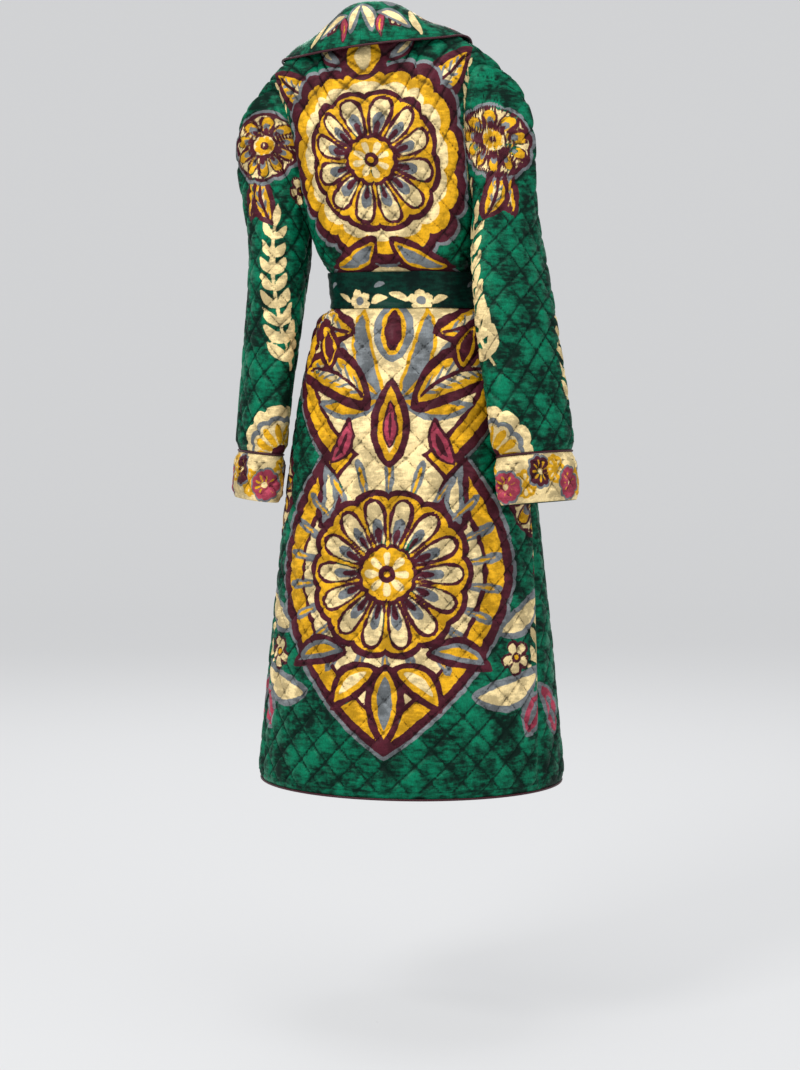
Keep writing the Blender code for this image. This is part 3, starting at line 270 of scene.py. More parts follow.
def ring(theta, v, out=0.0):
    """Point of the torso at an angle from the back's centre: an oval with two depths."""
    half, centre, z = level("half_width", v), level("centre_x", v), level("z", v)
    depth = np.where(np.cos(theta) > 0, level("back_depth", v), level("front_depth", v))
    return np.stack([centre + (half + out) * np.sin(theta),
                     (depth + out) * np.cos(theta), z + 0 * theta], -1)


def arcs(v):
    """Distance round the torso from the back's centre to each of RING_ANGLES."""
    return lengths_along(ring(RING_ANGLES, np.full(len(RING_ANGLES), v)))


def seam_arc(v):
    """Distance round the torso from the back's centre to the side seam."""
    return np.interp(np.radians(level("seam_angle", v)), RING_ANGLES, arcs(v))


def half_round(v):
    """Distance round the torso from the back's centre to the front's."""
    return np.interp(np.pi, RING_ANGLES, arcs(v))


def gather(theta, v):
    """Radial wave of the gathers: cosine of the angle, strongest just beside the belt."""
    below, above = BELT_EDGES[0] - v, v - BELT_EDGES[1]
    reach = np.where(below > 0, below / GATHER_BELOW, above / GATHER_ABOVE)
    strength = np.where(reach > 0, ease(reach * 5) * (1 - ease(reach)), 0.0)
    uneven = 0.75 + 0.25 * np.sin(3 * theta + 1.0)
    wave = np.cos(GATHERS * theta) + 0.35 * np.cos(31 * theta + 1.3 + 9 * (v - BELT_V))
    return GATHER_DEPTH * strength * uneven * wave


def lower_row(arc, v, side):
    """One row of torso points below the armpit, at distances round from the back's centre."""
    theta = np.interp(arc, arcs(v), RING_ANGLES)
    height = np.full(theta.shape, v)
    point = ring(theta, height, gather(theta, height))
    centre = level("centre_x", v)
    point[..., 0] = centre + side * (point[..., 0] - centre)
    return point


def leaned(point):
    """The upper body's sideways lean and shoulder tilt."""
    x, y, z = point[..., 0], point[..., 1], point[..., 2]
    return np.stack([x + LEAN * z, y, z + TILT * x], -1)


SHOULDER = smooth_rows(SHOULDER_LINE)
SHOULDER_LENGTHS = lengths_along(SHOULDER)
TIP_U = NECK_U + SHOULDER_LENGTHS[TIP_INDEX * CURVE_STEPS]


def top_line(u, middle):
    """Upper end of the cloth: a quarter ellipse round the neck, then the shoulder's curve."""
    neck = np.asarray(SHOULDER_LINE[0])
    turn = np.clip(u / NECK_U, -1, 1) * np.pi / 2
    round_neck = np.stack([neck[0] * np.sin(turn),
                           neck[1] + (middle[1] - neck[1]) * np.cos(turn),
                           neck[2] + (middle[2] - neck[2]) * np.cos(turn)], -1)
    shoulder = resample(SHOULDER, np.maximum(u - NECK_U, 0), SHOULDER_LENGTHS)
    return np.where((u > NECK_U)[..., None], shoulder, round_neck)


def upper_curve(u, t, side, back):
    """Cloth above the armpit: a cubic from the armpit ring to the neck or shoulder."""
    arc = u if back else half_round(ARMPIT_V) - u
    start = lower_row(arc, ARMPIT_V, side)
    before = lower_row(arc, ARMPIT_V - 0.002, side)
    end = top_line(u, NAPE if back else THROAT)
    end[..., 0] *= side
    end = leaned(end)
    over = ease((u - 0.4 * NECK_U) / (0.9 * NECK_U))[..., None]
    forward = -1.0 if back else 1.0
    rising = np.array([0.0, 0.35 * forward, 0.94])
    level_off = np.array([0.0, forward, 0.0])
    reach = np.linalg.norm(end - start, axis=-1)[..., None]
    start_slope = unit(start - before) * reach * 1.05
    end_slope = unit(rising * (1 - over) + level_off * over) * reach * (0.8 - 0.15 * over)
    return cubic(t[..., None], start, start_slope, end, end_slope)


def upper_heights(back):
    """Length of the cloth above the armpit at a row of pattern distances."""
    us = np.linspace(-OVERLAP - 0.02, TIP_U + 0.03, 60)
    curves = np.stack([upper_curve(us, np.full(len(us), t), 1, back)
                       for t in np.linspace(0, 1, 25)])
    return us, np.linalg.norm(np.diff(curves, axis=0), axis=2).sum(0)


HEIGHT_TABLE = {True: upper_heights(True), False: upper_heights(False)}


def upper_height(u, back):
    """Length of the cloth above the armpit at pattern distance u."""
    return np.interp(u, *HEIGHT_TABLE[back])


def body_rows(u, v, side, back, outer_layer=False):
    """Inner surface of a panel. Below the armpit each row has one height v."""
    point = np.zeros(u.shape + (3,))
    side = np.broadcast_to(np.asarray(side, float), u.shape)
    width = np.abs(u) if back else u
    low = v.max(axis=1) <= ARMPIT_V + 1e-9
    for r in np.flatnonzero(low):
        w = v[r, 0]
        point[r] = lower_row(width[r] if back else half_round(w) - width[r], w, side[r])
    t = np.maximum((v - ARMPIT_V) / upper_height(width, back), 0.0)
    point[~low] = upper_curve(width[~low], t[~low], side[~low], back)
    if outer_layer:
        away = point - (0.0, 0.02, 0.0)
        away[..., 0] -= level("centre_x", np.minimum(v, ARMPIT_V))
        away[..., 2] = 0.0
        out = LAYER * (1 - ease((u - OVERLAP - 0.03) / 0.04)) * (1 - ease((t - 0.45) / 0.4))
        point = point + unit(away) * out[..., None]
    return point


def body_points(u, v, side, back, outer_layer=False):
    """The same map for a plain list of pattern points. On the back, u under 0 is over the
    middle."""
    u, v = np.asarray(u, float), np.asarray(v, float)
    side = side * np.where(u < 0, -1.0, 1.0)[:, None] if back else side
    return body_rows(u[:, None], v[:, None], side, back, outer_layer)[:, 0]


def body_surface(u, v, side, back, outer_layer=False):
    """Points and outward normals for a plain list of pattern points, by differences."""
    step = 4e-4
    across = (body_points(u + step, v, side, back, outer_layer)
              - body_points(u - step, v, side, back, outer_layer))
    along = (body_points(u, v + step, side, back, outer_layer)
             - body_points(u, v - step, side, back, outer_layer))
    return (body_points(u, v, side, back, outer_layer),
            unit(np.cross(across, along)) * (-1.0 if back else side))


def armhole_rows(back):
    """Armhole curve as dense rows of (u, t), from the shoulder tip to the underarm."""
    rows = BACK_ARMHOLE if back else FRONT_ARMHOLE
    under = seam_arc(ARMPIT_V) if back else half_round(ARMPIT_V) - seam_arc(ARMPIT_V)
    return smooth_rows([(TIP_U if u is None else u, t) for t, u in rows] + [(under, 0.0)])


def armhole_u(t, back):
    """Pattern distance of the armhole at a share t of the way up."""
    rows = armhole_rows(back)[::-1]
    return np.interp(t, rows[:, 1], rows[:, 0])


def neck_line(place):
    """Pattern point of the front's neck edge: 1 neck point, 2 its end at the belt."""
    high = np.array([NECK_U, ARMPIT_V + upper_height(NECK_U, False)])
    low = np.array([-OVERLAP, np.interp(V_BOTTOM_Z, LEVELS[:, 0], HEIGHTS_V)])
    return high + (low - high) * (np.asarray(place, float)[..., None] - 1.0)


def panel_rows(low_rows, high_rows):
    """Row heights below the armpit and shares of the way up above it."""
    return (np.linspace(0, ARMPIT_V, low_rows), np.linspace(0, 1, high_rows + 1)[1:])


def back_grid(columns, low_rows, high_rows):
    """Pattern of the back: u is a share of the seam's or armhole's distance in each row."""
    share = np.linspace(-1, 1, columns)
    lows, highs = panel_rows(low_rows, high_rows)
    edge = np.concatenate([[seam_arc(v) for v in lows], armhole_u(highs, True)])
    u = share * edge[:, None]
    v = np.concatenate([np.repeat(lows[:, None], columns, 1),
                        ARMPIT_V + highs[:, None] * upper_height(np.abs(u[low_rows:]), True)])
    return u, v, (1 - np.abs(share)) * edge[:, None]


def front_grid(columns, low_rows, high_rows):
    """Pattern of a front: u runs from the front or neck edge to the seam or armhole."""
    share = np.linspace(0, 1, columns)
    lows, highs = panel_rows(low_rows, high_rows)
    line = neck_line(np.linspace(1, 2, 200))
    below = np.interp(lows, line[::-1, 1], line[::-1, 0])
    shares = (line[:, 1] - ARMPIT_V) / upper_height(line[:, 0], False)
    above = np.interp(highs, shares[::-1], line[::-1, 0])
    first = np.concatenate([below, above])
    last = np.concatenate([[half_round(v) - seam_arc(v) for v in lows],
                           armhole_u(highs, False)])
    u = first[:, None] + share * (last - first)[:, None]
    v = np.concatenate([np.repeat(lows[:, None], columns, 1),
                        ARMPIT_V + highs[:, None] * upper_height(u[low_rows:], False)])
    return u, v, np.minimum(share, 1 - share) * (last - first)[:, None]


class Sleeve:
    """A sleeve's map from pattern (phase round the arm, v up from the cuff seam)."""

    def __init__(self, side):
        self.side = side
        self.rows = smooth_rows(SLEEVE[side])[::-1]
        self.along = lengths_along(self.rows[:, :3])
        self.top_v = self.along[-1] - CUFF_HIGH
        loops = []
        for back in (True, False):
            rows = armhole_rows(back)
            v = ARMPIT_V + rows[:, 1] * upper_height(rows[:, 0], back)
            at = body_points(rows[:, 0], v, side, back)
            loops.append(resample(at, np.linspace(0, lengths_along(at)[-1], 121)))
        self.hole = np.vstack([loops[0], loops[1][-2::-1]])
        phases = np.linspace(0, 1, 49)
        curve = np.stack([self.cap(phases, np.full(49, t)) for t in np.linspace(0, 1, 25)])
        self.caps = np.linalg.norm(np.diff(curve, axis=0), axis=2).sum(0)
        self.phases = phases

    def section(self, phase, v):
        """One row round the arm: even steps along an ellipse square to the arm."""
        place = v + CUFF_HIGH
        row = resample(self.rows, place, self.along)
        axis = unit(resample(self.rows[:, :3], place + 0.02, self.along)
                    - resample(self.rows[:, :3], place - 0.02, self.along))
        angle = np.radians(row[5])
        long_way = np.array([self.side * np.sin(angle), -np.cos(angle), 0.0])
        long_way = unit(long_way - (long_way @ axis) * axis)
        short_way = np.cross(axis, long_way) * self.side
        turns = np.linspace(0, 2 * np.pi, 145)
        loop = np.stack([-(row[3] - FULL) * np.sin(turns), (row[4] - FULL) * np.cos(turns)], -1)
        spot = resample(loop, (phase % 1.0) * lengths_along(loop)[-1])
        return row[:3] + spot[:, :1] * long_way + spot[:, 1:] * short_way

    def cap(self, phase, t):
        """Cubic from the arm's top section up to the armhole."""
        start = self.section(phase, self.top_v)
        rise = unit(start - self.section(phase, self.top_v - 0.004))
        place = (phase % 1.0) * (len(self.hole) - 1)
        end = np.stack([np.interp(place, np.arange(len(self.hole)), self.hole[:, k])
                        for k in range(3)], -1)
        under = 0.5 - 0.5 * np.cos(2 * np.pi * phase)
        outward = np.stack([-self.side * (0.75 - 0.20 * under), 0 * under,
                            0.62 + 0.20 * under], -1)
        reach = np.linalg.norm(end - start, axis=1)[:, None]
        return cubic(t[:, None], start, rise * reach, end, unit(outward) * reach * 0.9)

    def grid(self, columns, lows, highs):
        """Pattern and points of rows at heights lows and at shares highs of the cap."""
        phase = np.linspace(0, 1, columns)
        caps = np.interp(phase, self.phases, self.caps)
        u = np.tile(phase * SLEEVE_ROUND, (len(lows) + len(highs), 1))
        v = np.concatenate([np.repeat(np.asarray(lows)[:, None], columns, 1),
                            self.top_v + np.asarray(highs)[:, None] * caps])
        at = [self.section(phase, w) for w in lows]
        at += [self.cap(phase, np.full(columns, t)) for t in highs]
        return u, v, np.array(at)


# Meshes

def add_mesh(name, points, faces, corners=None, uv=None, fields=None):
    """Mesh from face arrays. corners picks each face corner's row of uv, which may differ
    from its point's where a tube closes on itself."""
    mesh = bpy.data.meshes.new(name)
    sizes = np.concatenate([np.full(len(f), f.shape[1]) for f in faces])
    loops = np.concatenate([f.ravel() for f in faces])
    mesh.vertices.add(len(points))
    mesh.vertices.foreach_set("co", np.asarray(points, np.float32).ravel())
    mesh.loops.add(len(loops))
    mesh.loops.foreach_set("vertex_index", loops.astype(np.int32))
    mesh.polygons.add(len(sizes))
    starts = np.concatenate([[0], np.cumsum(sizes)[:-1]])
    mesh.polygons.foreach_set("loop_start", starts.astype(np.int32))
    mesh.polygons.foreach_set("use_smooth", np.ones(len(sizes), bool))
    mesh.update(calc_edges=True)
    if uv is not None:
        picked = loops if corners is None else np.concatenate([c.ravel() for c in corners])
        layer = mesh.uv_layers.new(name="flat")
        layer.uv.foreach_set("vector", np.asarray(uv, np.float32)[picked].ravel())
    for key, values in (fields or {}).items():
        mesh.attributes.new(key, "FLOAT", "POINT").data.foreach_set(
            "value", np.asarray(values, np.float32))
    mesh.set_sharp_from_angle(angle=1.1)
    shown = bpy.data.objects.new(name, mesh)
    bpy.context.scene.collection.objects.link(shown)
    return shown


def quads(rows, columns, wrap, first=0):
    """Corner numbers of a grid's faces, and the same without closing the last column."""
    r, c = np.meshgrid(np.arange(rows - 1), np.arange(columns - 1), indexing="ij")
    r, c = r.ravel(), c.ravel()
    wide = columns - 1 if wrap else columns
    cells = []
    for size, turn in ((wide, wrap), (columns, False)):
        nxt = (c + 1) % (columns - 1) if turn else c + 1
        cells.append(first + np.stack([r * size + c, r * size + nxt, (r + 1) * size + nxt,
                                       (r + 1) * size + c], -1))
    return cells


def add_wall(name, inner, outer, uv, fields, wrap=False):
    """Closed wall: a fine outer grid, an inner grid of every fourth point, and rims of one
    face to four outer edges. With wrap the last column is the first."""
    rows, columns = outer.shape[:2]
    few = inner[::EVERY, ::EVERY]
    count = columns - 1 if wrap else columns
    few_count = few.shape[1] - 1 if wrap else few.shape[1]
    points = np.vstack([outer[:, :count].reshape(-1, 3), few[:, :few_count].reshape(-1, 3)])
    base = rows * count
    outside, outside_uv = quads(rows, columns, wrap)
    within, _ = quads(few.shape[0], few.shape[1], wrap, base)
    _, within_uv = quads(few.shape[0], few.shape[1], wrap, rows * columns)
    fine, coarse = np.arange(columns) % count, np.arange(few.shape[1]) % few_count
    borders = [(fine, coarse, 1),
               ((rows - 1) * count + fine, (few.shape[0] - 1) * few_count + coarse, -1)]
    if not wrap:
        fine, coarse = np.arange(rows) * count, np.arange(few.shape[0]) * few_count
        borders += [(fine, coarse, -1), (fine + count - 1, coarse + few_count - 1, 1)]
    around = []
    for fine, coarse, turn in borders:
        k = np.arange(len(coarse) - 1)
        face = np.stack([base + coarse[k], base + coarse[k + 1]]
                        + [fine[EVERY * k + s] for s in range(EVERY, -1, -1)], -1)
        around.append(face if turn > 0 else face[:, ::-1])
    around = np.vstack(around)
    at = around - base
    around_uv = np.where(around >= base,
                         rows * columns + at // few_count * few.shape[1] + at % few_count,
                         around // count * columns + around % count)
    faces = [outside, within[:, ::-1], around]
    corners = [outside_uv, within_uv[:, ::-1], around_uv]
    probe = np.cross(inner[:-1, 1:] - inner[:-1, :-1], inner[1:, :-1] - inner[:-1, :-1])
    if (probe * (outer - inner)[:-1, :-1]).sum() < 0:
        faces, corners = [f[:, ::-1] for f in faces], [c[:, ::-1] for c in corners]
    flat = np.vstack([uv.reshape(-1, 2), uv[::EVERY, ::EVERY].reshape(-1, 2)])
    spare = len(points) - base
    inked = {key: np.concatenate([value[:, :count].ravel(), np.full(spare, NO_INK)])
             for key, value in fields.items()}
    inked["inside"] = np.concatenate([np.zeros(base), np.ones(spare)])
    return add_mesh(name, points, faces, corners, flat, inked)


def grid_normals(points, turn, wrap=False):
    """Unit normals of a grid: cross product of its two slopes, joined across a tube's end."""
    across = np.gradient(points, axis=1)
    if wrap:
        across[:, 0] = across[:, -1] = (points[:, 1] - points[:, -2]) / 2
    return unit(np.cross(across, np.gradient(points, axis=0))) * turn


def flat_uv(u, v):
    """Pattern metres as a UV map: 1.6 m of cloth fills the map."""
    return np.stack([u / 1.6 + 0.5, v / 1.6 + 0.1], -1)


def cut_area(points):
    """Area of a grid: half the cross product of each cell's diagonals."""
    a, b = points[1:, 1:] - points[:-1, :-1], points[1:, :-1] - points[:-1, 1:]
    return float(np.linalg.norm(np.cross(a, b), axis=-1).sum() / 2)


# Quilting and folds

def quilting(u, v, period=None):
    """Relief of the quilting, 0 to 1: flat-topped puffs between narrow stitched valleys,
    with small puckers where the thread pulls the velvet in."""
    wobble = 0.0012 * rough(u, v, 0.05, 0.05, 3, period)
    a, b = (u + wobble) / STEP_U, (v + 0.7 * wobble) / STEP_V
    p = 1 - np.abs((a + b) % 2 - 1)
    q = 1 - np.abs((a - b) % 2 - 1)
    # This profile shapes the relief, and the panels and sleeves also paint shade from it into
    # the valleys
    valley = (1 - (1 - p) ** 6.0) * (1 - (1 - q) ** 6.0)
    thread = np.minimum(p, q)
    pucker = np.sin(2 * np.pi * (a - b) * 2.5 + 3 * rough(u, v, 0.01, 0.01, 8, period))
    pucker = np.where(p < q, pucker,
                      np.sin(2 * np.pi * (a + b) * 2.5 + 3 * rough(u, v, 0.01, 0.01, 9, period)))
    return valley + 0.13 * pucker * np.exp(-((thread - 0.14) / 0.12) ** 2)


def crush(u, v, seed, period=None):
    """Soft unevenness of velvet that has been worn: long low folds and short creases."""
    return (0.0013 * rough(u, v, 0.045, 0.16, seed, period)
            + 0.0005 * rough(u, v, 0.012, 0.04, seed + 1, period)
            + 0.00025 * rough(u, v, 0.004, 0.02, seed + 2, period))


def edge_roll(distance):
    """Share of the wall that is left at a seam or edge, where the cloth turns under."""
    return 0.30 + 0.70 * np.sqrt(ease(distance / 0.005))


# Print

class Print:
    """Distances in the flat pattern to each colour's shapes, under 0 inside them."""

    def __init__(self, u, v, period=None):
        self.u, self.v, self.period = u, v, period
        self.fields = {ink: np.full(u.shape, NO_INK) for ink in INKS}

    def local(self, x, y, angle=0.0):
        """Pattern coordinates about a point, along and across a direction in degrees."""
        du, dv = self.u - x, self.v - y
        if self.period:
            du = (du + self.period / 2) % self.period - self.period / 2
        c, s = np.cos(np.radians(angle)), np.sin(np.radians(angle))
        return du * c + dv * s, dv * c - du * s

    def paint(self, ink, distance):
        """This colour covers the others where distance is under 0. None is the ground."""
        for key, field in self.fields.items():
            if key == ink:
                np.minimum(field, distance, out=field)
            else:
                np.maximum(field, -distance - 0.0003, out=field)

    def disc(self, ink, x, y, radius):
        a, b = self.local(x, y)
        self.paint(ink, np.hypot(a, b) - radius)

    def bent(self, x, y, length, width, angle, bend):
        """Distance along a bent middle line, distance from it, and a leaf's half width
        there: w / 2 sin(pi a^0.85)^0.75."""
        a, b = self.local(x, y, angle)
        share = np.clip(a / length, 0, 1)
        b = b - bend * length * share * (1 - share) * 4
        return a, b, width / 2 * np.sin(np.pi * share ** 0.85) ** 0.75

    def leaf(self, inks, x, y, length, width, angle, bend=0.0):
        """Pointed leaf in nested inks."""
        a, b, half = self.bent(x, y, length, width, angle, bend)
        distance = np.maximum(np.abs(b) - half, np.maximum(-a, a - length))
        for k, ink in enumerate(inks):
            self.paint(ink, distance + k * 0.16 * width)

    def petals(self, ink, x, y, count, inner, outer, width, turn=0.0):
        """Ring of round-ended petals: the angle is folded into one sector."""
        a, b = self.local(x, y)
        radius, phi = np.hypot(a, b), np.arctan2(b, a) + np.radians(turn)
        sector = 2 * np.pi / count
        fold = (phi + sector / 2) % sector - sector / 2
        along, across = radius * np.cos(fold), np.abs(radius * np.sin(fold))
        share = np.clip((along - inner) / (outer - inner), 0, 1)
        half = width / 2 * np.sqrt(np.clip(share, 0, 1)) * np.sqrt(
            np.clip(1 - share ** 5, 0, 1))
        self.paint(ink, np.maximum(across - half, np.maximum(inner - along, along - outer))
                   * 0.9)

    def scallop(self, ink, x, y, radius, count, depth, turn=0.0):
        """Disc with a lobed edge: radius less depth times 1 - |cos|^0.5 of half the count
        times the angle."""
        a, b = self.local(x, y)
        phi = np.arctan2(b, a) + np.radians(turn)
        edge = radius - depth * (1 - np.sqrt(np.abs(np.cos(count * phi / 2))))
        self.paint(ink, np.hypot(a, b) - edge)

    def rosette(self, x, y, radius, petals, turn=0.0,
                inks=("wine", "gold", "cream", "grey")):
        """Round flower: lobed rim, a ring of petals with darker hearts, and a dotted eye."""
        rim, band, petal, shade = inks
        self.scallop(rim, x, y, radius, petals, 0.07 * radius, turn)
        self.scallop(band, x, y, 0.94 * radius, petals, 0.07 * radius, turn)
        self.petals(rim, x, y, petals, 0.28 * radius, 0.90 * radius, 4.6 * radius / petals, turn)
        self.petals(petal, x, y, petals, 0.30 * radius, 0.87 * radius, 3.9 * radius / petals,
                    turn)
        self.petals(shade, x, y, petals, 0.34 * radius, 0.66 * radius, 1.9 * radius / petals,
                    turn)
        self.petals(rim, x, y, petals, 0.36 * radius, 0.54 * radius, 0.9 * radius / petals, turn)
        self.scallop(rim, x, y, 0.36 * radius, petals, 0.04 * radius, turn)
        self.scallop(band, x, y, 0.32 * radius, petals, 0.03 * radius, turn)
        self.petals(petal, x, y, 8, 0.05 * radius, 0.27 * radius, 0.15 * radius, turn)
        self.disc(rim, x, y, 0.09 * radius)
        self.disc(band, x, y, 0.055 * radius)

    def blossom(self, x, y, size, turn):
        """Small cream flower with five petals and a gold heart."""
        self.petals("wine", x, y, 5, 0.0, size * 1.06, size * 1.02, turn)
        self.petals("cream", x, y, 5, 0.0, size * 0.97, size * 0.86, turn)
        self.disc("wine", x, y, 0.27 * size)
        self.disc("gold", x, y, 0.20 * size)

    def sprig(self, x, y, length, angle, pairs, leaf, bend):
        """Cream stem with pairs of leaves that lean along it, smaller towards the tip."""
        a, b, _ = self.bent(x, y, length, 0.0, angle, bend)
        self.paint("cream", np.maximum(np.abs(b) - 0.0016, np.maximum(-a, a - length)))
        c, s = np.cos(np.radians(angle)), np.sin(np.radians(angle))
        for k in range(pairs):
            t = (k + 0.6) / (pairs + 0.3)
            out = bend * length * t * (1 - t) * 4
            slope = np.degrees(np.arctan(bend * 4 * (1 - 2 * t)))
            px, py = x + t * length * c - out * s, y + t * length * s + out * c
            size = leaf * (1.1 - 0.45 * t)
            for hand in (1, -1):
                self.leaf(("cream",), px, py, size, size * 0.36, angle + slope + 38 * hand,
                          0.08 * hand)
        self.leaf(("cream",), x + length * c, y + length * s, leaf * 0.8, leaf * 0.3,
                  angle - np.degrees(np.arctan(bend * 4)))

    def ogee(self, ink, x, y, half_wide, half_high, grow):
        """Pointed oval: half width falls as (1 - |h|^1.7)^0.9 towards the points."""
        a, b = self.local(x, y)
        h = np.clip(np.abs(b) / (half_high + grow), 0, 1)
        half = (half_wide + grow) * (1 - h ** 1.7) ** 0.9
        self.paint(ink, np.maximum(np.abs(a) - half, np.abs(b) - half_high - grow) * 0.8)

    def plume(self, x, y, length, width, angle, bend):
        """Large curved leaf in nested colours with ribs."""
        self.leaf(WARM, x, y, length, width, angle, bend)
        a, b, half = self.bent(x, y, length, width, angle, bend)
        rib = np.abs((a - 1.2 * np.abs(b)) % 0.017 - 0.0085) - 0.0022
        inner = np.maximum(np.abs(b) - half + 0.27 * width, np.maximum(-a, a - 0.9 * length))
        self.paint("grey", np.maximum(rib, inner))
        self.paint("wine", np.maximum(np.abs(b) - 0.0018, inner))


def print_back(u, v):
    """Back: a lobed field with a great rosette between the shoulders, two pointed fields that
    run into each other on the skirt with fans of leaves and a rosette, and sprays beside."""
    p = Print(u, v)
    top, low = ARMPIT_V + 0.085, 0.335
    for s in (-1, 1):
        p.rosette(s * 0.262, 0.455, 0.074, 10, 9, CREAM_RING)
        p.sprig(s * 0.262, 0.150, 0.165, 90 - s * 10, 6, 0.036, 0.10 * s)
        p.leaf(PALE, s * 0.130, 0.150, 0.140, 0.052, 90 - s * 74, -0.12 * s)
        p.leaf(PALE, s * 0.165, 0.245, 0.120, 0.046, 90 - s * 58, -0.12 * s)
        p.leaf(ROSY_PALE, s * 0.225, 0.085, 0.085, 0.050, 90 - s * 40, 0.1 * s)
        p.blossom(s * 0.205, 0.205, 0.026, 12)
        p.blossom(s * 0.275, 0.345, 0.028, 30)
    for ink, grow in (("grey", 0.007), ("wine", 0.0), ("gold", -0.014), ("wine", -0.046),
                      ("cream", -0.051)):
        p.ogee(ink, 0, low, 0.196, 0.272, grow)
        p.ogee(ink, 0, 0.655, 0.196, 0.225, grow)
    for s in (-1, 1):
        for k in range(4):
            p.leaf(("grey", "gold") if k % 2 else ("gold", "grey"), s * 0.012, 0.600,
                   0.150 - 0.012 * k, 0.034, 90 - s * (14 + 27 * k), -0.10 * s)
        p.plume(s * 0.030, 0.585, 0.165, 0.078, 90 - s * 74, 0.20 * s)
        p.plume(s * 0.058, 0.700, 0.135, 0.066, 90 - s * 52, -0.18 * s)
        p.leaf(("wine", "gold", "wine"), s * 0.105, 0.640, 0.085, 0.044, 90 - s * 20, 0.1 * s)
        p.blossom(s * 0.060, 0.790, 0.026, 30)
        p.leaf(("wine", "grey", "cream"), s * 0.112, 0.400, 0.110, 0.044, 90 - s * 2, 0.16 * s)
        p.leaf(ROSY, s * 0.095, 0.500, 0.075, 0.030, 90 + s * 24, 0.1 * s)
    p.petals("grey", 0, low, 22, 0.11, 0.178, 0.017, 8)
    p.petals("gold", 0, low, 22, 0.12, 0.170, 0.010, 8)
    p.rosette(0, low, 0.128, 14)
    p.leaf(WARM, 0, 0.495, 0.135, 0.058, 90)
    p.leaf(ROSY, 0, 0.525, 0.070, 0.022, 90)
    p.leaf(("grey", "gold", "wine"), 0, 0.655, 0.110, 0.060, 90)
    for s in (-1, 1):
        p.leaf(WARM, s * 0.010, low - 0.140, 0.100, 0.050, -90 + s * 48,
               0.12 * s)
        p.leaf(("wine", "grey", "gold"), s * 0.060, low - 0.118, 0.105, 0.044, -90 + s * 74,
               0.14 * s)
    p.leaf(COLD, 0, low - 0.135, 0.125, 0.058, -90)
    # The upper back
    for s in (-1, 1):
        p.sprig(s * 0.150, top - 0.035, 0.150, 90 - s * 6, 7, 0.026, -0.10 * s)
        p.plume(s * 0.070, top + 0.085, 0.120, 0.058, 90 - s * 62, -0.20 * s)
        p.leaf(("wine", "grey", "cream"), s * 0.020, top + 0.150, 0.110, 0.046, 90 - s * 26,
               -0.2 * s)
    for ink, radius in (("grey", 0.157), ("wine", 0.151), ("gold", 0.138)):
        p.scallop(ink, 0, top, radius, 16, 0.012)
    p.scallop("cream", 0, top, 0.119, 16, 0.010)
    p.rosette(0, top, 0.104, 12, 15)
    for s in (-1, 1):
        p.leaf(COLD, s * 0.010, top - 0.112, 0.105, 0.046, -90 + s * 64,
               -0.14 * s)
    p.leaf(WARM, 0, top + 0.120, 0.100, 0.060, 90)
    return p.fields


def print_front(u, v):
    """Front: pointed fields one above the other with a rosette in each, plumes between, and
    half of the back's side rosette at the seam."""
    p = Print(u, v)
    side = float(u[0].max())
    p.rosette(side, 0.455, 0.074, 10, 9, CREAM_RING)
    p.sprig(side - 0.03, 0.150, 0.165, 100, 6, 0.036, -0.10)
    p.blossom(side - 0.030, 0.345, 0.028, 30)
    for k, (x, y, wide, high) in enumerate(((0.105, 0.250, 0.105, 0.175),
                                            (0.090, 0.585, 0.085, 0.170),
                                            (0.065, 0.905, 0.062, 0.130))):
        for ink, grow in (("grey", 0.006), ("wine", 0.0), ("gold", -0.010), ("wine", -0.028),
                          ("cream", -0.032)):
            p.ogee(ink, x, y, wide, high, grow)
        p.rosette(x, y, 0.62 * wide, 12, 12 * k)
        for s in (-1, 1):
            p.leaf(COLD, x + s * 0.006, y + 0.68 * wide, 0.55 * high, 0.026,
                   90 - s * 16, 0.1 * s)
            p.leaf(COLD, x + s * 0.006, y - 0.68 * wide, 0.50 * high, 0.026,
                   -90 + s * 18, 0.1 * s)
            p.plume(x + s * 0.035, y + 0.86 * high, 0.095, 0.046, 90 - s * 62, 0.18 * s)
        p.blossom(x - wide - 0.004, y - 0.100, 0.024, 20 * k)
    p.leaf(ROSY_PALE, side - 0.075, 0.075, 0.090, 0.048, 75, 0.1)
    return p.fields


def print_sleeve(u, v, side):
    """Sleeve: a rosette on the upper arm, a long sprig below it, half a rosette at the cuff."""
    p = Print(u, v, SLEEVE_ROUND)
    seen = 0.098
    p.plume(seen - 0.060, 0.350, 0.085, 0.042, 82, -0.12)
    p.plume(seen - 0.010, 0.345, 0.085, 0.042, 104, 0.12)
    p.scallop("grey", seen - 0.036, 0.462, 0.062, 10, 0.006, 8)
    p.rosette(seen - 0.036, 0.462, 0.056, 10, 8, CREAM_RING)
    p.blossom(seen + 0.045, 0.405, 0.024, 10)
    p.sprig(seen + 0.020 * side, 0.130, 0.215, 90 + 7 * side, 8, 0.040, 0.08 * side)
    for ink, radius, depth in (("cream", 0.078, 0.008), ("grey", 0.062, 0.006),
                               ("cream", 0.056, 0.006)):
        p.scallop(ink, seen + 0.010, -0.004, radius, 14, depth)
    p.petals("gold", seen + 0.010, -0.004, 14, 0.018, 0.050, 0.013)
    p.scallop("wine", seen + 0.010, -0.004, 0.018, 10, 0.003)
    p.sprig(seen + 0.190, 0.060, 0.240, 94, 8, 0.036, -0.08)
    p.rosette(seen + 0.165, 0.400, 0.058, 10, 0, ("wine", "cream", "rose", "grey"))
    return p.fields


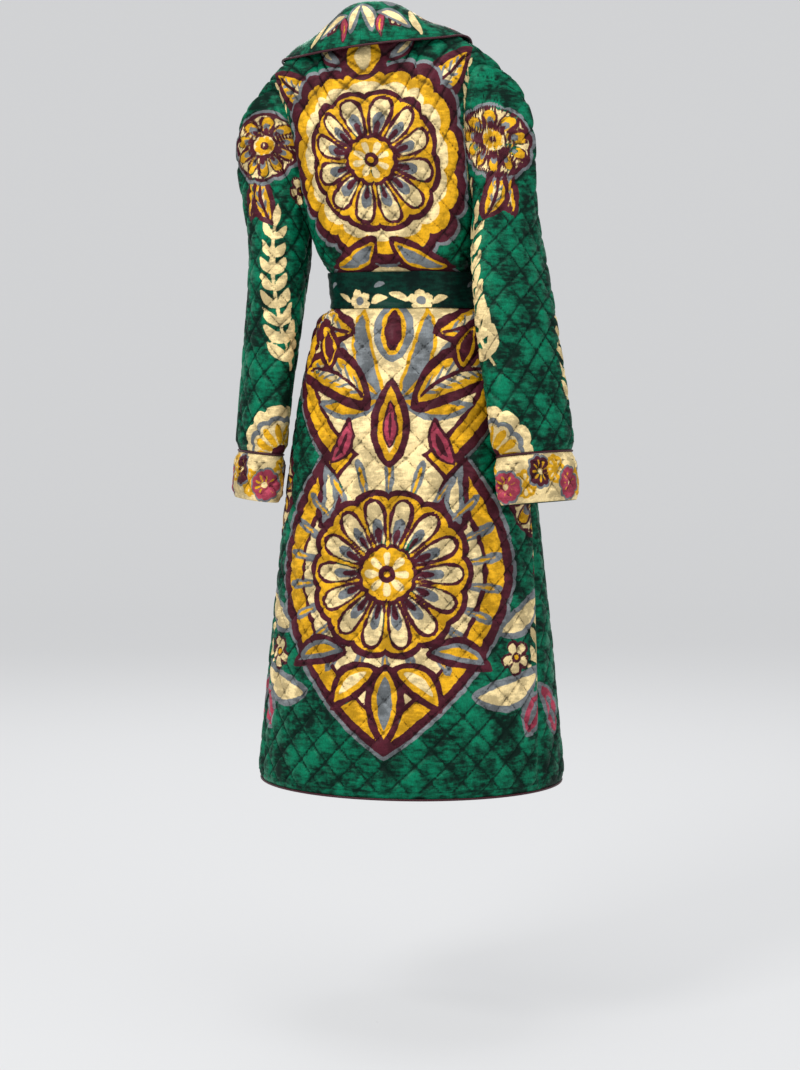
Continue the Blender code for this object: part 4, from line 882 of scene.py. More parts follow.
def print_cuff(u, v):
    """Cuff: cream and gold, thick with lobed flowers in rose and grey."""
    p = Print(u, v, SLEEVE_ROUND)
    p.paint("cream", np.full(u.shape, -NO_INK))
    for k in range(6):
        x = (k + 0.35) * SLEEVE_ROUND / 6
        y = -0.050 if k % 2 else -0.030
        p.scallop("gold", x + 0.031, -0.078 - y, 0.021, 8, 0.003)
        p.petals("cream", x + 0.031, -0.078 - y, 8, 0.003, 0.018, 0.010)
        p.scallop("grey", x, y, 0.026, 9, 0.004)
        p.scallop("rose" if k % 2 else "wine", x, y, 0.0225, 9, 0.004)
        p.petals("gold", x, y, 9, 0.004, 0.018, 0.007)
        p.disc("cream", x, y, 0.0055)
    return p.fields


def print_collar(u, v):
    """Collar: curved leaves in cream and grey and small flowers on the green fall."""
    p = Print(u, v)
    for k in range(8):
        x = 0.020 + 0.066 * k
        p.leaf(PALE, x, 0.128, 0.062, 0.026, 212 if k % 2 else 246, 0.16)
        p.leaf(("cream",) if k % 2 else ("wine", "rose", "gold"), x + 0.012, 0.140, 0.052,
               0.015, 292, -0.14)
        p.leaf(("grey",), x + 0.036, 0.062, 0.040, 0.018, 24, 0.12)
        p.blossom(x + 0.044, 0.112 - 0.012 * (k % 2), 0.013, 20 * k)
    return p.fields


def print_belt(u, v):
    """Belt: now and then a cream flower and leaves at the lower edge of the dark green."""
    p = Print(u, v, float(u.max()))
    for k in range(5):
        x = 0.050 + 0.142 * k
        p.petals("cream", x, 0.011, 5, 0.0, 0.0165, 0.0150, 14 * k)
        p.disc("grey", x, 0.011, 0.0052)
        p.leaf(("cream",), x + 0.018, 0.010, 0.026, 0.009, 28, 0.1)
        p.leaf(("cream",), x - 0.018, 0.008, 0.024, 0.009, 158, -0.1)
        p.leaf(("grey",), x + 0.046, 0.038, 0.016, 0.005, -20, 0.1)
    return p.fields


# Materials

def add_node(tree, kind, inputs=(), **settings):
    """A node with its settings, and then its inputs, given as values or as sockets to link."""
    node = tree.nodes.new(kind)
    for key, value in settings.items():
        setattr(node, key, value)
    for key, value in dict(inputs).items():
        if isinstance(value, bpy.types.NodeSocket):
            tree.links.new(value, node.inputs[key])
        else:
            node.inputs[key].default_value = value
    return node


def math_node(tree, operation, a, b):
    """Value worked out from two values or sockets."""
    return add_node(tree, "ShaderNodeMath", {0: a, 1: b}, operation=operation).outputs[0]


def times(tree, a, b):
    """Product of two values or sockets."""
    return math_node(tree, "MULTIPLY", a, b)


def attribute(tree, name):
    """A mesh attribute as a value."""
    return add_node(tree, "ShaderNodeAttribute", attribute_name=name).outputs["Fac"]


def mix_colours(tree, share, a, b, blend="MIX"):
    """Colour a where share is 0 and b where it is 1."""
    node = add_node(tree, "ShaderNodeMix", {0: share, 6: a, 7: b}, data_type="RGBA",
                    blend_type=blend)
    return node.outputs[2]


def spread(tree, value, low, high, to_low=0.0, to_high=1.0):
    """Value from low..high to to_low..to_high, with soft ends."""
    return add_node(tree, "ShaderNodeMapRange",
                    {"Value": value, "From Min": low, "From Max": high, "To Min": to_low,
                     "To Max": to_high}, interpolation_type="SMOOTHSTEP").outputs[0]


def new_group(name, inputs, outputs):
    """Shader node group with named sockets: (name, kind, default) in, (name, kind) out."""
    tree = bpy.data.node_groups.new(name, "ShaderNodeTree")
    for label, kind, value in inputs:
        socket = tree.interface.new_socket(label, in_out="INPUT", socket_type=kind)
        socket.default_value = value
    for label, kind in outputs:
        tree.interface.new_socket(label, in_out="OUTPUT", socket_type=kind)
    return tree, tree.nodes.new("NodeGroupInput"), tree.nodes.new("NodeGroupOutput")


def stretched(tree, scale):
    """Object coordinates scaled by axis, as noise coordinates."""
    place = add_node(tree, "ShaderNodeTexCoord")
    return add_node(tree, "ShaderNodeMapping", {"Vector": place.outputs["Object"],
                                                "Scale": scale}).outputs[0]


def noise_node(tree, scale, size, detail=2.0, roughness=0.5):
    """Noise on the object's own coordinates, drawn out by axis."""
    return add_node(tree, "ShaderNodeTexNoise", {"Vector": stretched(tree, scale), "Scale": size,
                                                 "Detail": detail, "Roughness": roughness})


def crush_group():
    """Crushed pile: patches that lie different ways, and fine nap, as masks and a height."""
    tree, start, end = new_group(
        "crushed_pile",
        [("Patch size", "NodeSocketFloat", 26.0), ("Nap size", "NodeSocketFloat", 900.0)],
        [("Patches", "NodeSocketFloat"), ("Nap", "NodeSocketFloat"),
         ("Height", "NodeSocketFloat")])
    patches = noise_node(tree, (1, 1, 0.8), 26.0, 4.0, 0.62)
    tree.links.new(start.outputs["Patch size"], patches.inputs["Scale"])
    broken = noise_node(tree, (0.5, 0.5, 1.5), 110.0, 3.0, 0.62)
    nap = noise_node(tree, (1, 1, 0.22), 900.0, 2.0, 0.6)
    tree.links.new(start.outputs["Nap size"], nap.inputs["Scale"])
    both = math_node(tree, "ADD", times(tree, patches.outputs[0], 0.62),
                     times(tree, broken.outputs[0], 0.38))
    tree.links.new(spread(tree, both, 0.40, 0.62), end.inputs["Patches"])
    tree.links.new(spread(tree, nap.outputs[0], 0.25, 0.75), end.inputs["Nap"])
    tall = math_node(tree, "ADD", times(tree, broken.outputs[0], 0.8),
                     times(tree, nap.outputs[0], 0.2))
    tree.links.new(tall, end.inputs["Height"])
    return tree


def print_group():
    """Hand-printed colours: each ink covers where its distance is under a wavering edge."""
    tree, start, end = new_group(
        "printed_inks", [("Ground", "NodeSocketColor", (0, 0.1, 0.06, 1)),
                         ("Waver", "NodeSocketFloat", 0.0012)],
        [("Colour", "NodeSocketColor"), ("Inked", "NodeSocketFloat")])
    waver = noise_node(tree, (1, 1, 0.8), 190.0, 5.0, 0.78)
    slow = noise_node(tree, (1, 1, 1), 45.0, 1.0)
    both = math_node(tree, "ADD", math_node(tree, "SUBTRACT", waver.outputs[0], 0.5),
                     times(tree, math_node(tree, "SUBTRACT", slow.outputs[0], 0.5), 1.6))
    shift = times(tree, math_node(tree, "SUBTRACT", both, 0.30), start.outputs["Waver"])
    worn = spread(tree, noise_node(tree, (1, 1, 0.5), 70.0, 3.0).outputs[0], 0.3, 0.7, 0.72, 1.0)
    colour, inked = start.outputs["Ground"], None
    for ink, shade in INKS.items():
        field = attribute(tree, ink)
        edge = math_node(tree, "ADD", field, shift)
        cover = spread(tree, edge, 0.0007, -0.0007)
        pale = tuple(min(1.0, 1.25 * part + 0.01) for part in shade)
        lit = mix_colours(tree, worn, tuple(0.62 * p for p in shade) + (1,), pale + (1,))
        colour = mix_colours(tree, cover, colour, lit)
        inked = cover if inked is None else math_node(tree, "MAXIMUM", inked, cover)
    tree.links.new(colour, end.inputs["Colour"])
    tree.links.new(inked, end.inputs["Inked"])
    return tree


def new_material(name, roughness, sheen=0.0, sheen_tint=(1, 1, 1), sheen_rough=0.4,
                 specular=0.3):
    """Principled material with its plain values set on the shader itself."""
    material = bpy.data.materials.new(name)
    material.use_nodes = True
    shader = material.node_tree.nodes["Principled BSDF"]
    for key, value in (("Roughness", roughness), ("Sheen Weight", sheen),
                       ("Sheen Tint", tuple(sheen_tint) + (1,)),
                       ("Sheen Roughness", sheen_rough), ("Specular IOR Level", specular)):
        shader.inputs[key].default_value = value
    return material, material.node_tree, shader


def velvet_material(name, crush, inks, shaded, light, sheen=0.03, patch=26.0):
    """Crushed velvet: the pile's patches go between a shaded and a lit copy of the green,
    painted shade darkens the quilting's valleys, and the inks are printed over the pile."""
    material, tree, shader = new_material(name, 0.5, sheen, (0.9, 1.0, 0.95), 0.30, 0.09)
    pile = add_node(tree, "ShaderNodeGroup", {"Patch size": patch}, node_tree=crush)
    # Painted shade: this attribute is low in the quilting's valleys, stitch lines and the knot's
    # dips, and lower over the shoulders, and there the ground goes to the shaded green
    low = attribute(tree, "valley")
    share = times(tree, pile.outputs["Patches"], spread(tree, low, 0.1, 0.65, 0.05, 1.0))
    ground = mix_colours(tree, share, shaded + (1,), light + (1,))
    ground = mix_colours(tree, spread(tree, pile.outputs["Nap"], 0.0, 1.0, 0.0, 0.35), ground,
                         tuple(0.4 * p for p in shaded) + (1,))
    printed = add_node(tree, "ShaderNodeGroup", {"Ground": ground, "Waver": WAVER},
                       node_tree=inks)
    shade = spread(tree, pile.outputs["Patches"], 0.0, 1.0, 0.58, 1.12)
    # Painted shade on the inks where the same attribute marks a valley
    valley_ink_shade = spread(tree, low, 0.0, 0.45, 0.22, 1.0)
    grain = spread(tree, pile.outputs["Nap"], 0.0, 1.0, 1.06, 0.86)
    strength = times(tree, times(tree, shade, valley_ink_shade), grain)
    grey = add_node(tree, "ShaderNodeCombineColor",
                    {0: strength, 1: strength, 2: strength}).outputs[0]
    toned = mix_colours(tree, 1.0, printed.outputs["Colour"], grey, "MULTIPLY")
    colour = mix_colours(tree, printed.outputs["Inked"], ground, toned)
    inner = attribute(tree, "inside")
    colour = mix_colours(tree, inner, colour, INSIDE)
    tree.links.new(colour, shader.inputs["Base Color"])
    tree.links.new(spread(tree, pile.outputs["Patches"], 0, 1, 0.62, 0.40),
                   shader.inputs["Roughness"])
    bump = add_node(tree, "ShaderNodeBump", {"Height": pile.outputs["Height"],
                                             "Strength": 0.55, "Distance": 0.0016})
    tree.links.new(bump.outputs[0], shader.inputs["Normal"])
    return material


def cord_material(name, colour):
    """Satin cord: fine diagonal ribs of its twist, with painted shade between them."""
    material, tree, shader = new_material(name, 0.42, 0.05, (0.9, 0.5, 0.6), 0.4, 0.3)
    place = add_node(tree, "ShaderNodeUVMap", uv_map="flat")
    ribs = add_node(tree, "ShaderNodeTexWave", {"Vector": place.outputs[0], "Scale": 1.0,
                                                "Distortion": 0.3, "Detail": 1.0},
                    wave_type="BANDS", bands_direction="DIAGONAL")
    # Painted shade between the ribs of the twist
    shade = mix_colours(tree, ribs.outputs["Fac"], tuple(0.35 * c for c in colour) + (1,),
                        colour + (1,))
    tree.links.new(shade, shader.inputs["Base Color"])
    bump = add_node(tree, "ShaderNodeBump", {"Height": ribs.outputs["Fac"], "Strength": 0.4,
                                             "Distance": 0.0004})
    tree.links.new(bump.outputs[0], shader.inputs["Normal"])
    return material


CRUSH = crush_group()
PRINTED = print_group()
VELVET = velvet_material("quilted_velvet", CRUSH, PRINTED, GREEN_SHADED, GREEN_LIT)
COLLAR_VELVET = velvet_material("collar_velvet", CRUSH, PRINTED, GREEN_SHADED, GREEN_LIT,
                                patch=34.0)
BELT_VELVET = velvet_material("belt_velvet", CRUSH, PRINTED, BELT_SHADED, BELT_LIT, 0.10,
                              30.0)
CORD = cord_material("satin_cord", BURGUNDY)


# The pieces

def finish_piece(piece, node, material, flat=None, area=None):
    """Material and body of one piece, with its imported part hidden."""
    piece.data.materials.append(material)
    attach(piece, "root")
    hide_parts(node)
    if flat is not None:
        area = area and min(area, 0.999 * flat[0] * flat[1])
    return piece


def quilted_panel(name, node, side, back, grid, fields, outer_layer=False):
    """One body panel: relief along the normals of its worn form."""
    u, v, sides = grid
    sides_of = np.where(u < 0, -1.0, 1.0) if back else float(side)
    inner = body_rows(u, v, sides_of, back, outer_layer)
    normal = grid_normals(inner, -1.0 if back else float(side))
    top = ARMPIT_V + upper_height(np.abs(u) if back else u, back)
    edge = np.minimum(sides, np.minimum(v, top - v))
    off_belt = np.maximum(BELT_EDGES[0] - v, v - BELT_EDGES[1])
    quiet = ease(off_belt / FOLD_FADE)
    if not back and side > 0:
        quiet = quiet * ease((u - OVERLAP - 0.015) / FOLD_FADE)
    puffs = quilting(u, v)
    raised = ease((edge - SEAM_FLAT) / PUFF_FADE) * quiet
    seed = 20 + 7 * (side + 1) + (3 if back else 0)
    folds = crush(u, v, seed) * ease(edge / FOLD_FADE) * (0.3 + 0.7 * quiet)
    hem = np.exp(-((v - HEM_STITCH) / 0.0011) ** 2)
    roll = 0.0012 * np.exp(-((v - HEM_ROLL) / 0.0025) ** 2)
    rise = WALL * edge_roll(edge) + PUFF * puffs * raised + folds + roll - 0.0010 * hem
    outer = inner + normal * np.maximum(rise, THINNEST)[..., None]
    for wall in (inner, outer):
        wall[v < 1e-6, 2] -= HEM_REACH
    # Painted shade: the quilting's valleys and the hem's stitch line are darker, and the cloth
    # above the armpit is darker still towards the shoulders
    light = (np.clip(puffs, 0, 1) * raised + 1 - raised) * (1 - hem)
    shoulder_shade = 1 - 0.45 * ease((v - ARMPIT_V - 0.10) / 0.10)
    fields = dict(fields, valley=light * shoulder_shade)
    piece = add_wall(name, inner, outer, flat_uv(u, v), fields)
    width, length = float(u.max() - u.min()), float(v.max() - v.min())
    return finish_piece(piece, node, VELVET, (width, length), cut_area(inner))


def quilted_tube(name, node, sleeve, lows, highs, columns, fields_of, ends):
    """Sleeve or cuff: the same relief on a tube, fading into its two ends."""
    u, v, inner = sleeve.grid(columns, lows, highs)
    normal = grid_normals(inner, float(sleeve.side), wrap=True)
    low, high = v[0][None], v[-1][None]
    edge = np.minimum(v - low, high - v)
    puffs = quilting(u, v, SLEEVE_ROUND)
    raised = ease((edge - SEAM_FLAT) / PUFF_FADE)
    folds = crush(u, v, 61 + sleeve.side, SLEEVE_ROUND) * ease(edge / FOLD_FADE)
    rows = sum(np.exp(-((v - at) / 0.0009) ** 2) for at in ends)
    rise = WALL * edge_roll(edge) + PUFF * puffs * raised + folds - 0.0009 * rows
    outer = inner + normal * np.maximum(rise, THINNEST)[..., None]
    # Painted shade: darker in the quilting's valleys and along the stitched rows
    valley = np.clip(puffs * raised + (1 - raised) - 0.6 * rows, 0, 1)
    fields = dict(fields_of(u, v), valley=valley)
    piece = add_wall(name, inner, outer, flat_uv(u, v), fields, wrap=True)
    width, length = SLEEVE_ROUND, float(v.max() - v.min())
    return finish_piece(piece, node, VELVET, (width, length), cut_area(inner))


def tube(name, node, path, closed=False):
    """Cord along a path: circles square to it. An open one has a flat cap at each end."""
    count, sides = len(path), PIPE_SIDES
    if closed:
        run = unit(np.roll(path, -1, axis=0) - np.roll(path, 1, axis=0))
    else:
        run = unit(np.gradient(path, axis=0))
    up = np.where(np.abs(run[:, 2:]) > 0.9, (0.0, 1.0, 0.0), (0.0, 0.0, 1.0))
    across = unit(np.cross(run, up))
    over = np.cross(across, run)
    turns = np.linspace(0, 2 * np.pi, sides + 1)
    loops = path[:, None] + PIPE * (np.cos(turns)[:, None] * across[:, None]
                                    + np.sin(turns)[:, None] * over[:, None])
    along = lengths_along(np.vstack([path, path[:1]]) if closed else path)
    flat = np.stack(np.broadcast_arrays(turns[None] / 6.28 * 0.35, along[:, None] / 0.0032),
                    -1)
    faces, corners = quads(len(along), sides + 1, True)
    sets, corner_sets = [faces % (count * sides)], [corners]
    if not closed:
        near, far = np.arange(sides)[::-1], np.arange(sides)
        sets.append(np.stack([near, (count - 1) * sides + far]))
        corner_sets.append(np.stack([near, (count - 1) * (sides + 1) + far]))
    points = loops[:, :sides].reshape(-1, 3)
    piece = add_mesh(name, points, sets, corner_sets, flat.reshape(-1, 2))
    return finish_piece(piece, node, CORD)


def make_panels():
    """The back and the two crossed fronts."""
    u, v, sides = back_grid(BACK_COLUMNS, *PANEL_ROWS)
    quilted_panel("velvet_back", "back", 0, True, (u, v, sides), print_back(u, v))
    for side, word in ((1, "left"), (-1, "right")):
        u, v, sides = front_grid(FRONT_COLUMNS, *PANEL_ROWS)
        quilted_panel("velvet_front_" + word, "front_" + word, side, False, (u, v, sides),
                      print_front(u, v), side == -1)


def make_sleeves():
    """Both sleeves with their cuffs and the piping between."""
    drop = 2 * PIPE + PIPE_SEAM
    low, high, columns = SLEEVE_GRID
    for side, word in ((1, "left"), (-1, "right")):
        sleeve = Sleeve(side)
        quilted_tube("velvet_sleeve_" + word, "sleeve_" + word, sleeve,
                     np.linspace(0, sleeve.top_v, low), np.linspace(0, 1, high + 1)[1:],
                     columns, lambda u, v: print_sleeve(u, v, side), (0.0075,))
        quilted_tube("velvet_cuff_" + word, "cuff_" + word, sleeve,
                     np.linspace(drop - CUFF_HIGH, -drop, CUFF_GRID[0]), (), CUFF_GRID[1],
                     print_cuff, (-drop - 0.005, -drop - 0.0115, drop - CUFF_HIGH + 0.006))
        phase = np.arange(180) / 180
        ring_at = sleeve.section(phase, -drop / 2)
        middle = ring_at.mean(axis=0)
        path = ring_at + unit(ring_at - middle) * WALL / 2
        tube("cord_cuff_" + word, "cuff_piping_" + word, path, closed=True)


def hem_cord():
    """Cord just under the hem, from the left front's edge round the back to the right's."""
    around = half_round(0.0)
    u = np.linspace(-OVERLAP, around - 0.002, 150)
    left = body_points(u, 0 * u, 1, False)
    right = body_points(u, 0 * u, -1, False, True)
    path = np.vstack([left, right[::-1]])
    away = path - (TORSO[0][1], 0.0, 0.0)
    away[:, 2] = 0.0
    path = path + unit(away) * WALL / 2
    path[:, 2] -= SMALL_GAP + PIPE
    tube("cord_hem", "hem_piping", path)


# Collar

def neck_edge(place):
    """Pattern point of the neck edge: 0 nape, 1 neck point, 2 end of the front neck edge."""
    if place <= 1.0:
        return np.array([place * NECK_U, ARMPIT_V + upper_height(place * NECK_U, True)])
    return neck_line(place)


def collar_places(side):
    """Places along the neck edge where the collar is worked out."""
    length = np.linalg.norm(neck_edge(2.0) - neck_edge(1.0 + 1e-9))
    steps = int(round(length / STEP_U))
    last = (NECK_U - COLLAR_END_U[side]) / (NECK_U + OVERLAP)
    front = 1.0 + np.arange(2 * int(round(last * steps)) + 1) / (2 * steps)
    front[0] += 1e-9
    return np.concatenate([np.linspace(0, 1, NECK_STATIONS + 1)[:-1], front])


def panel_at(edge, side, back):
    """Points and normals of the panel at pattern points, by the wearer's side."""
    u = edge[:, 0] * (side if back else 1)
    return body_surface(u, edge[:, 1], 1.0 if back else float(side), back, side == -1)


def collar_frames(places, side):
    """Neck edge points with their outward and upward directions. The back and the front meet
    at the neck point, so that one has the sum of both."""
    rows = []
    for place in np.append(places, 1.0):
        edge, back = neck_edge(place), place <= 1.0
        at, out = panel_at(edge[None], side, back)
        start = neck_edge(max(place - 0.02, 1e-6 if back else 1.0 + 1e-6))
        run = unit(neck_edge(min(place + 0.02, 1.0 if back else 2.0)) - start)
        off = edge + np.array([run[1], -run[0]]) * (-1 if back else 1) * 1e-3
        rows.append([at[0], out[0], unit(panel_at(off[None], side, back)[0] - at)[0]])
    at, out, up = (np.array(part) for part in zip(*rows))
    out[NECK_STATIONS] += out[-1]
    up[NECK_STATIONS] += up[-1]
    at, out, up = at[:-1], unit(out[:-1]), unit(up[:-1])
    at[1:-1:2] = (at[:-2:2] + at[2::2]) / 2
    middle = unit(np.array([1.0, 0.0, TILT]))
    for vectors in (out, up):
        vectors[0] -= middle * (vectors[0] @ middle)
    return at, unit(out), unit(up)


def eased(vectors, times):
    """Directions evened out along the neck by a 1-2-1 average."""
    for _ in range(times):
        vectors = unit(np.vstack([vectors[:1], vectors[:-2] + 2 * vectors[1:-1] + vectors[2:],
                                  vectors[-1:]]))
    return vectors


def shoulder_cloth(side):
    """Points and normals of the cloth that the collar lies over."""
    across = np.arange(-OVERLAP, TIP_U, 0.008)
    points, normals = [], []
    for back in (True, False):
        u = np.repeat(across[across > -0.02] if back else across, 45)
        t = np.tile(np.linspace(-0.1, 1.0, 45), len(u) // 45)
        uv = np.stack([u, ARMPIT_V + t * upper_height(u, back)], -1)
        if not back:
            high, low = neck_edge(1.0 + 1e-9), neck_edge(2.0)
            along = (high[1] - uv[:, 1]) * (NECK_U + OVERLAP)
            uv = uv[u > NECK_U - along / (high[1] - low[1])]
        at, normal = panel_at(uv, side, back)
        points.append(at)
        normals.append(normal)
    return np.vstack(points), np.vstack(normals)


def held_off(points, cloth, clear):
    """Points moved out where needed, to lie this far over the nearest cloth."""
    places, normals = cloth
    apart = np.linalg.norm(points[:, None] - places, axis=2)
    near = np.argmin(apart, axis=1)
    short = clear - ((points - places[near]) * normals[near]).sum(1)
    short[apart.min(1) > 2 * clear] = 0.0
    return points + normals[near] * np.maximum(short, 0.0)[:, None]


def collar_grid(places, side):
    """Side of the collar that shows: up inside the neck, over the fold and down the fall."""
    columns = [row[0] for row in COLLAR]
    stand = np.interp(places, columns, [row[1] for row in COLLAR])[:, None]
    fall = np.interp(places, columns, [row[2] for row in COLLAR])
    fall *= 1 - COLLAR_TAPER * ease((places - places[-1]) / 0.35 + 1)
    at, out, up = collar_frames(places, side)
    wider = 1 + 1.8 * np.exp(-((places - 1.03) / 0.10) ** 2)[:, None]
    corner = np.exp(-((places - places[NECK_STATIONS]) / 0.05) ** 2)[:, None]
    inward = corner * (-COLLAR_INWARD * side, 0, 0)
    base = at + up * COLLAR_SEAM * wider + out * WALL + inward
    thick, foot = out, base - out * WALL
    out, up = eased(out, 30), eased(up, 30)
    turn = np.minimum(COLLAR_ROLL, 0.5 * stand + 0.004)
    down = base + up * (stand - 0.35 * turn) + out * 2 * turn
    cloth = shoulder_cloth(side)
    rows = [foot, base + up * stand, base + up * (stand + 0.75 * turn) + out * turn, down]
    turned = leaned(smooth_rows(COLLAR_EDGE) * (side, 1, 1))
    hanging = resample(turned, np.clip(places, 0, 1) * lengths_along(turned)[-1])
    run = unit(neck_edge(2.0) - neck_edge(1.0 + 1e-9))
    under = np.array([neck_edge(max(p, 1.0 + 1e-9)) for p in places])
    under = under + np.array([-run[1], run[0]]) * fall[:, None]
    laid, normal = panel_at(under, side, False)
    laid = laid + normal * (FULL + COLLAR_CLEAR)
    near = ease((places - 1.0) / 0.4)[:, None]
    edge = hanging * (1 - near) + laid * near
    for _ in range(6):
        edge[1:-1] = (edge[:-2] + 2 * edge[1:-1] + edge[2:]) / 4
    for part in (0.2, 0.4, 0.6, 0.8, 1.0):
        away = unit(np.where((places < 1.2)[:, None], out + up, normal))
        rows.append(down + (edge - down) * part + away * COLLAR_LIFT * 4 * part * (1 - part))
    grid = np.stack(rows, 1)
    for _ in range(8):
        grid[1:-1, 1:] = (grid[:-2, 1:] + 2 * grid[1:-1, 1:] + grid[2:, 1:]) / 4
        for k in range(3, grid.shape[1]):
            grid[:, k] = held_off(grid[:, k], cloth, FULL + COLLAR_CLEAR)
    return grid, thick


def make_collar():
    """Both halves of the collar and the cord round the outer edge."""
    edges = {}
    for side, word in ((1, "left"), (-1, "right")):
        coarse, thick = collar_grid(collar_places(side), side)
        along = np.gradient(coarse, axis=0)
        along[0] = np.array([1.0, 0.0, TILT]) * side
        normal = unit(np.cross(along, np.gradient(coarse, axis=1))) * -side
        normal[:, 0] = thick
        edge = coarse[:, -1] + normal[:, -1] * COLLAR_WALL / 2
        run = unit(np.gradient(edge, axis=0))
        tip = coarse[:, -1] - coarse[:, -2]
        tip = eased(unit(tip - run * (tip * run).sum(1)[:, None]), 4)
        edges[side] = edge + tip * (PIPE + PIPE_SEAM)
        coarse[0, :, 0] += side * SMALL_GAP / 2
        both = smooth_rows(np.concatenate([coarse, normal], axis=2), 8)
        both = smooth_rows(both.transpose(1, 0, 2), 6)
        shown, normal = both[..., :3], unit(both[..., 3:])
        u = np.tile(lengths_along(shown[-1]), (len(shown), 1)) * side
        v = np.tile(lengths_along(shown[:, 0])[:, None], (1, shown.shape[1]))
        far = np.minimum(v.max() - v, v)
        folds = 0.0011 * rough(u, v, 0.05, 0.09, 91 + side) + 0.0004 * rough(
            u, v, 0.012, 0.03, 95)
        folds = folds * ease(far / 0.015) * ease((np.abs(u) + 0.004) / 0.02)
        channel = np.exp(-((v.max() - v - 0.006) / 0.0010) ** 2)
        sunk = COLLAR_WALL / 2 * (1 - edge_roll(far)) - folds + 0.0008 * channel
        outer = shown + normal * np.minimum(sunk, 0.0022)[..., None]
        inner = shown + normal * COLLAR_WALL
        # Painted shade in the stitched channel near the collar's outer edge
        fields = dict(print_collar(np.abs(u), v), valley=1 - 0.8 * channel)
        piece = add_wall("velvet_collar_" + word, inner, outer, flat_uv(u, v), fields)
        finish_piece(piece, "collar_" + word, COLLAR_VELVET,
                     (float(np.abs(u).max()), float(v.max())), cut_area(inner))
    path = np.vstack([edges[1][::-1], edges[-1][1:]])
    tube("cord_collar", "collar_piping", smooth_rows(path, 8))


# Belt

def belt_clear(theta):
    """Distance from the body's inner surface to the belt, more over the crossed fronts."""
    crossed = (LAYER + 0.0008) * (1 - ease((np.abs(theta - np.pi) - 0.75) / 0.5))
    return WALL + BELT_CLEAR + crossed


def belt_wall(name, node, inner, outward, u, v, wrap, flat, seed):
    """Smooth velvet band with soft lengthwise creases and rolled edges."""
    far = np.minimum(v - v.min(), v.max() - v)
    period = float(u.max()) if wrap else None
    creases = 0.0011 * rough(u, v, 0.06, 0.011, seed, period) + 0.0004 * rough(
        u, v, 0.015, 0.004, seed + 1, period)
    sewn = np.exp(-((far - 0.0035) / 0.0008) ** 2)
    rise = BELT_WALL * edge_roll(far) + creases * ease(far / 0.008) - 0.0006 * sewn + 0.0008
    outer = inner + outward * np.maximum(rise, 0.0009)[..., None]
    # Painted shade along the sewn lines near both edges of the belt
    fields = dict(print_belt(np.abs(u), v - v.min()), valley=1 - 0.7 * sewn)
    piece = add_wall(name, inner, outer, flat_uv(u, v), fields, wrap=wrap)
    return finish_piece(piece, node, BELT_VELVET, flat, None)


def make_band():
    """The belt round the waist, a ring with a slightly uneven height."""
    rows, columns = BELT_GRID
    theta = np.linspace(0, 2 * np.pi, columns)
    rises = np.linspace(-0.5, 0.5, rows) * BELT_HIGH
    around = np.where(theta > np.pi, 2 * np.pi - theta, theta)
    heights = np.interp(BELT_Z + rises, LEVELS[:, 0], HEIGHTS_V)
    inner = np.stack([ring(theta, np.full(columns, v), belt_clear(around)) for v in heights])
    inner[..., 2] += 0.0016 * rough(theta[None] * 0.12, rises[:, None] * 0, 0.06, 1.0, 5,
                                    2 * np.pi * 0.12)
    outward = inner - inner.mean(axis=1, keepdims=True)
    outward[..., 2] = 0.0
    length = float(lengths_along(inner[rows // 2])[-1])
    u = np.tile(np.linspace(0, length, columns), (rows, 1))
    v = np.repeat(rises[:, None], columns, 1)
    belt_wall("belt_band", "belt_wrap", inner, unit(outward), u, v, True,
              (length, BELT_HIGH), 31)


def make_tails(x, knot_y):
    """The two ends: they widen below the knot, part a little and wave as they hang."""
    rows, columns = TAIL_ROWS, BELT_GRID[0]
    top = BELT_Z - KNOT_HALF[2] - SMALL_GAP
    across = np.linspace(-1, 1, columns)
    for side, word, length in ((1, "left", BELT_END), (-1, "right", BELT_END - 0.05)):
        z = np.linspace(top, top - length, rows)
        fallen = (top - z) / length
        half = 0.009 + (BELT_HIGH / 2 - 0.009) * ease(fallen * 3.5)
        middle = x + side * (0.0015 + half + 0.010 * fallen)
        body = level("front_depth", np.interp(z, LEVELS[:, 0], HEIGHTS_V))
        depth = np.maximum(body + FULL + LAYER + 0.006, -knot_y)
        wave = 0.0020 * (1 - across ** 2) * np.sin(fallen[:, None] * 9 + side) * fallen[:, None]
        at = np.stack([middle[:, None] + across * half[:, None],
                       -depth[:, None] + 0.003 * across ** 2 - np.abs(wave),
                       np.repeat(z[:, None], columns, 1)], -1)
        v = np.repeat((across * BELT_HIGH / 2)[None], rows, 0)
        u = np.repeat((fallen * length)[:, None], columns, 1)
        belt_wall("belt_tail_" + word, "belt_end_" + word, at,
                  np.array([0.0, -1.0, 0.0]) + 0 * at, u, v, False, (BELT_HIGH, length),
                  41 + side)


def make_belt():
    """The belt round the waist, its knot in front and the two ends that hang from it."""
    make_band()
    front = np.array([np.pi])
    face = ring(front, np.array([BELT_V]), belt_clear(front) + BELT_WALL + 0.0008)[0]
    knot_y = face[1] - SMALL_GAP - KNOT_HALF[1]
    make_knot(face[0], knot_y)
    make_tails(face[0], knot_y)


